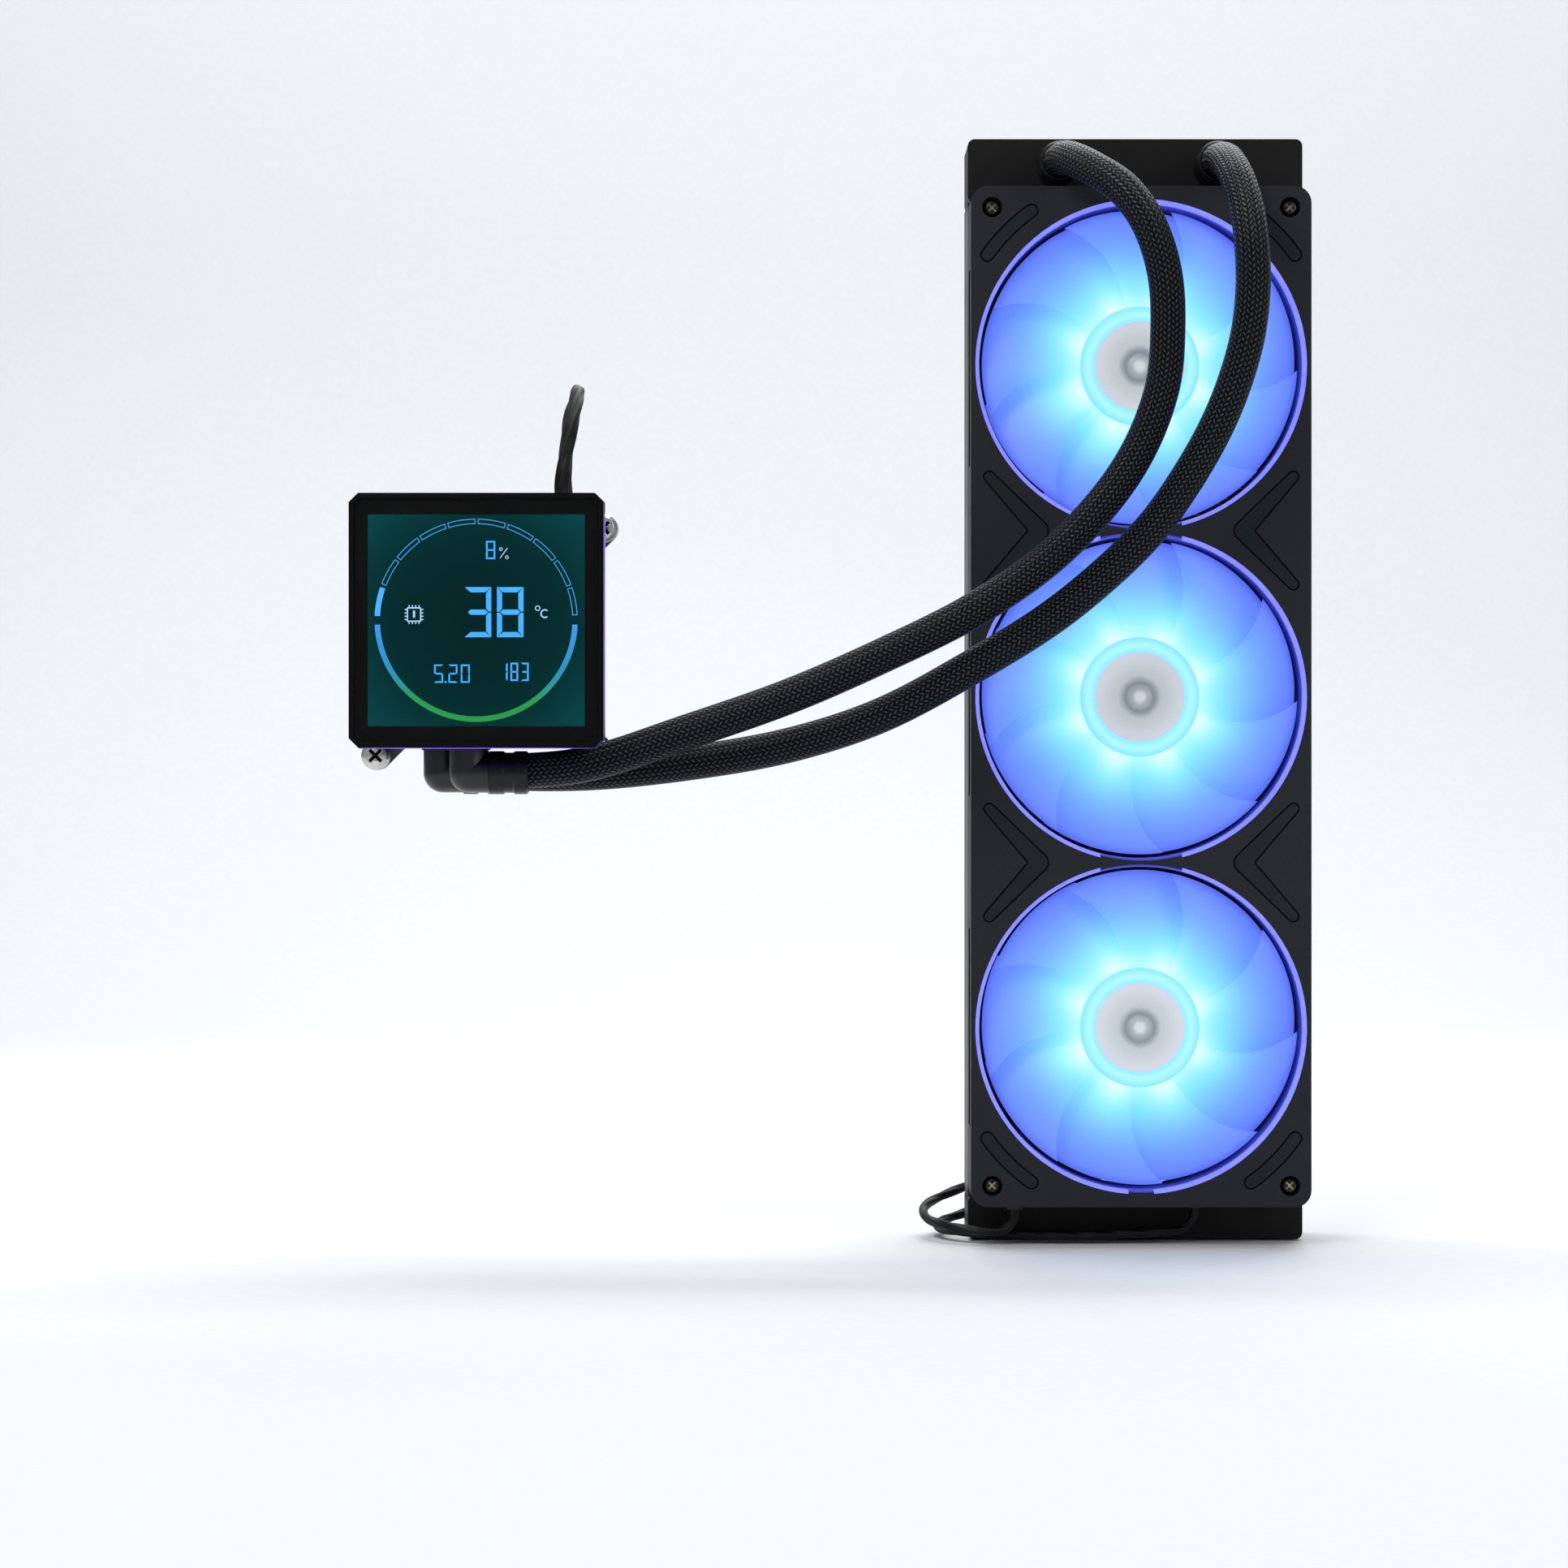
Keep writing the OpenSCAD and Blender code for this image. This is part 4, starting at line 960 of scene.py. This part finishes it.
class Picture:
    """Flat raised marks on the display, gathered into one mesh."""

    def __init__(self):
        self.points = []
        self.faces = []

    def plate(self, outline):
        """A mark with an outline of (x, z) points, anticlockwise."""
        first = len(self.points)
        n = len(outline)
        for y in (PANEL_LOW.y - MARK_T, PANEL_LOW.y + MARK_T):
            self.points += [(SCREEN.x + x * MM, y, SCREEN.z + z * MM) for x, z in outline]
        self.faces.append(tuple(range(first, first + n)))
        self.faces.append(tuple(reversed(range(first + n, first + 2 * n))))
        for k in range(n):
            m = (k + 1) % n
            self.faces.append((first + k, first + n + k, first + n + m, first + m))

    def bar(self, x0, z0, x1, z1, width):
        a, b = Vector((x0, z0)), Vector((x1, z1))
        d = (b - a).normalized()
        n = Vector((-d.y, d.x)) * width / 2
        self.plate([tuple(p) for p in (a - n, b - n, b + n, a + n)])

    def digit(self, shown, x, z, w, h, t):
        """A seven-segment figure with mitred corners, its lower left corner at (x, z)."""
        m, gap = h / 2, 0.09 * t
        left_up = [(0, h), (0, m), (t / 2, m), (t, m + t / 2), (t, h - t)]
        left_down = [(0, m), (0, 0), (t, t), (t, m - t / 2), (t / 2, m)]
        shapes = {
            "a": [(0, h), (t, h - t), (w - t, h - t), (w, h)],
            "b": [(w - u, v) for u, v in reversed(left_up)],
            "c": [(w - u, v) for u, v in reversed(left_down)],
            "d": [(0, 0), (w, 0), (w - t, t), (t, t)],
            "e": left_down,
            "f": left_up,
            "g": [(t / 2, m), (t, m - t / 2), (w - t, m - t / 2), (w - t / 2, m),
                  (w - t, m + t / 2), (t, m + t / 2)],
        }
        for name in SEGMENTS[shown]:
            us, vs = zip(*shapes[name])
            mid_u, mid_v = (min(us) + max(us)) / 2, (min(vs) + max(vs)) / 2
            keep_u = 1 - 2 * gap / (max(us) - min(us))
            keep_v = 1 - 2 * gap / (max(vs) - min(vs))
            self.plate([(x + mid_u + (u - mid_u) * keep_u, z + mid_v + (v - mid_v) * keep_v)
                        for u, v in zip(us, vs)])

    def number(self, figures, x, z, w, h, thick, gap):
        for shown in figures:
            if shown == ".":
                dot = x - 0.55 * gap
                self.bar(dot, z + thick / 2, dot + thick, z + thick / 2, thick)
                x += thick
            else:
                self.digit(shown, x, z, w, h, thick)
                x += w + gap

    def band(self, r0, r1, start, end, steps, x=0.0, z=0.0):
        """Part of a ring about (x, z), between two radii and two angles in degrees."""
        angles = [math.radians(start + (end - start) * k / steps) for k in range(steps + 1)]
        for a, b in zip(angles, angles[1:]):
            self.plate([(x + r * math.cos(t), z + r * math.sin(t))
                        for r, t in ((r0, a), (r1, a), (r1, b), (r0, b))])

    def framed_band(self, r0, r1, start, end, steps, line):
        """A band's outline, drawn inside it with a line of that width."""
        turn = math.degrees(line / r0)
        self.band(r0, r0 + line, start, end, steps)
        self.band(r1 - line, r1, start, end, steps)
        self.band(r0 + line, r1 - line, start, start + turn, 1)
        self.band(r0 + line, r1 - line, end - turn, end, 1)

    def ring(self, x, z, r, width, steps=20, start=0, end=360):
        self.band(r - width, r, start, end, steps, x, z)

    def finish(self, name, material):
        piece = mesh_object(name, self.points, self.faces, smooth=False)
        dress(piece, "screen", material=material)


def chip_sign(signs):
    """A small square chip, with pins on all four sides and a stroke in its middle."""
    x, z, half, tip = CHIP_X, CHIP_Z, CHIP_HALF, CHIP_HALF + CHIP_PIN_L
    corners = [(x - half, z - half), (x + half, z - half), (x + half, z + half),
               (x - half, z + half)]
    for one, two in zip(corners, corners[1:] + corners[:1]):
        signs.bar(*one, *two, CHIP_LINE)
    for pin in CHIP_PINS:
        for s in (-1, 1):
            signs.bar(x + pin, z + s * half, x + pin, z + s * tip, CHIP_PIN_W)
            signs.bar(x + s * half, z + pin, x + s * tip, z + pin, CHIP_PIN_W)
    signs.bar(x, z - 1.0, x, z + 1.3, 0.7)


def display_picture():
    blue = glowing("display_blue", srgb(62, 172, 255), 1.0, 0.4, 0.1)
    pale = glowing("display_pale", srgb(176, 214, 255), 0.9, 0.4, 0.1)
    thin = glowing("display_thin", srgb(52, 146, 204), 1.0, 0.4, 0.1)

    # The main reading, with the one gauge block that is lit
    big = Picture()
    big.number(*MAIN_READING)
    lit_end = 180 - GAUGE_END
    big.band(GAUGE_R0, GAUGE_R1, lit_end - BLOCK_ANGLE + 0.8, lit_end, 8)
    big.finish("reading_main", blue)

    low = Picture()
    low.band(GAUGE_R0, GAUGE_R1, 180 + GAUGE_END, 360 - GAUGE_END, 96)
    low.finish("gauge_arc", arc_glow("display_arc"))

    outlined = Picture()
    for k in range(GAUGE_BLOCKS):
        start = GAUGE_END + k * BLOCK_ANGLE
        outlined.framed_band(GAUGE_R0, GAUGE_R1, start + 0.4, start + BLOCK_ANGLE - 0.9, 8,
                             GAUGE_LINE)
    outlined.finish("gauge_blocks", thin)

    small = Picture()
    for reading in SMALL_READINGS:
        small.number(*reading)
    small.finish("reading_small", blue)

    # The sign for degrees Celsius, the percent sign and the chip
    signs = Picture()
    signs.ring(20.4, 4.0, 0.9, 0.3)
    signs.ring(22.8, 2.2, 1.5, 0.45, 16, 50, 310)
    signs.ring(8.2, 23.6, 0.6, 0.25)
    signs.ring(10.2, 20.9, 0.6, 0.25)
    signs.bar(7.9, 20.6, 10.4, 24.0, 0.28)
    chip_sign(signs)
    signs.finish("display_signs", pale)


display_picture()

# ---------- stage, lights and camera ----------

FLOOR_HALF = 7.0
FLOOR_DROP = 0.5 * MM
BACK_Y = 1.7
BACK_H = 3.5
BEND_R = 0.6
BEND_STEPS = 12
MIDDLE = (-0.10, -0.05, 0.0)
# Name, place, what it points at, size and watts
LIGHTS = (
    ("key", (-0.9, -1.5, 1.2), MIDDLE, (0.9, 0.9), 20),
    ("fill", (1.2, -1.3, 0.5), MIDDLE, (1.0, 1.0), 8),
    ("top", (-0.1, 0.1, 1.5), MIDDLE, (1.2, 0.6), 12),
    ("behind", (0.2, 0.85, 0.9), MIDDLE, (1.0, 0.6), 7),
    ("backdrop_wash", (-0.1, 0.5, 1.7), (-0.1, BACK_Y, 0.0), (2.4, 0.6), 26),
)
SKY_COLOUR = (0.9, 0.92, 0.95, 1)
SKY_STRENGTH = 0.35
CAMERA_AT = Vector((-125.9, -1452.0, -30.8)) * MM
VIEW_WIDTH = 552.5 * MM
VIEW_DISTANCE = 1400 * MM
SENSOR = 36.0


def add_stage():
    """A floor that bends up into a backdrop."""
    floor_z = cad_box[0][2] - FLOOR_DROP
    profile = [(-FLOOR_HALF, floor_z), (BACK_Y - BEND_R, floor_z)]
    for k in range(1, BEND_STEPS + 1):
        a = math.pi / 2 * k / BEND_STEPS
        profile.append((BACK_Y - BEND_R * (1 - math.sin(a)), floor_z + BEND_R * (1 - math.cos(a))))
    profile.append((BACK_Y, floor_z + BACK_H))
    points, faces = [], []
    for y, z in profile:
        points += [(-FLOOR_HALF, y, z), (FLOOR_HALF, y, z)]
    for k in range(len(profile) - 1):
        faces.append((2 * k, 2 * k + 1, 2 * k + 3, 2 * k + 2))
    floor = mesh_object("floor", points, faces)
    s = Shader("floor_paper", Roughness=0.85)
    s.set("Base Color", s.ramp(s.noise(220, 3, 0.5), [(0.3, srgb(209, 211, 214)),
                                                      (0.7, srgb(212, 214, 217))]))
    floor.data.materials.append(s.material)


def add_lights():
    for name, place, target, size, power in LIGHTS:
        data = bpy.data.lights.new(name, "AREA")
        data.shape = "RECTANGLE"
        data.size, data.size_y = size
        data.energy = power
        light = new_object(name, data)
        light.location = place
        aim = Vector(target) - Vector(place)
        light.rotation_euler = aim.to_track_quat("-Z", "Y").to_euler()
    world = bpy.data.worlds.new("world")
    world.use_nodes = True
    sky = world.node_tree.nodes["Background"].inputs
    sky["Color"].default_value = SKY_COLOUR
    sky["Strength"].default_value = SKY_STRENGTH
    bpy.context.scene.world = world
    bpy.context.scene.view_settings.view_transform = "Standard"


def add_camera():
    data = bpy.data.cameras.new("camera")
    data.sensor_width = SENSOR
    data.lens = SENSOR * VIEW_DISTANCE / VIEW_WIDTH
    data.clip_start = 0.05
    data.clip_end = 20
    camera = new_object("camera", data)
    camera.location = CAMERA_AT
    camera.rotation_euler = (math.radians(90), 0, 0)
    bpy.context.scene.camera = camera


add_stage()
add_lights()
add_camera()
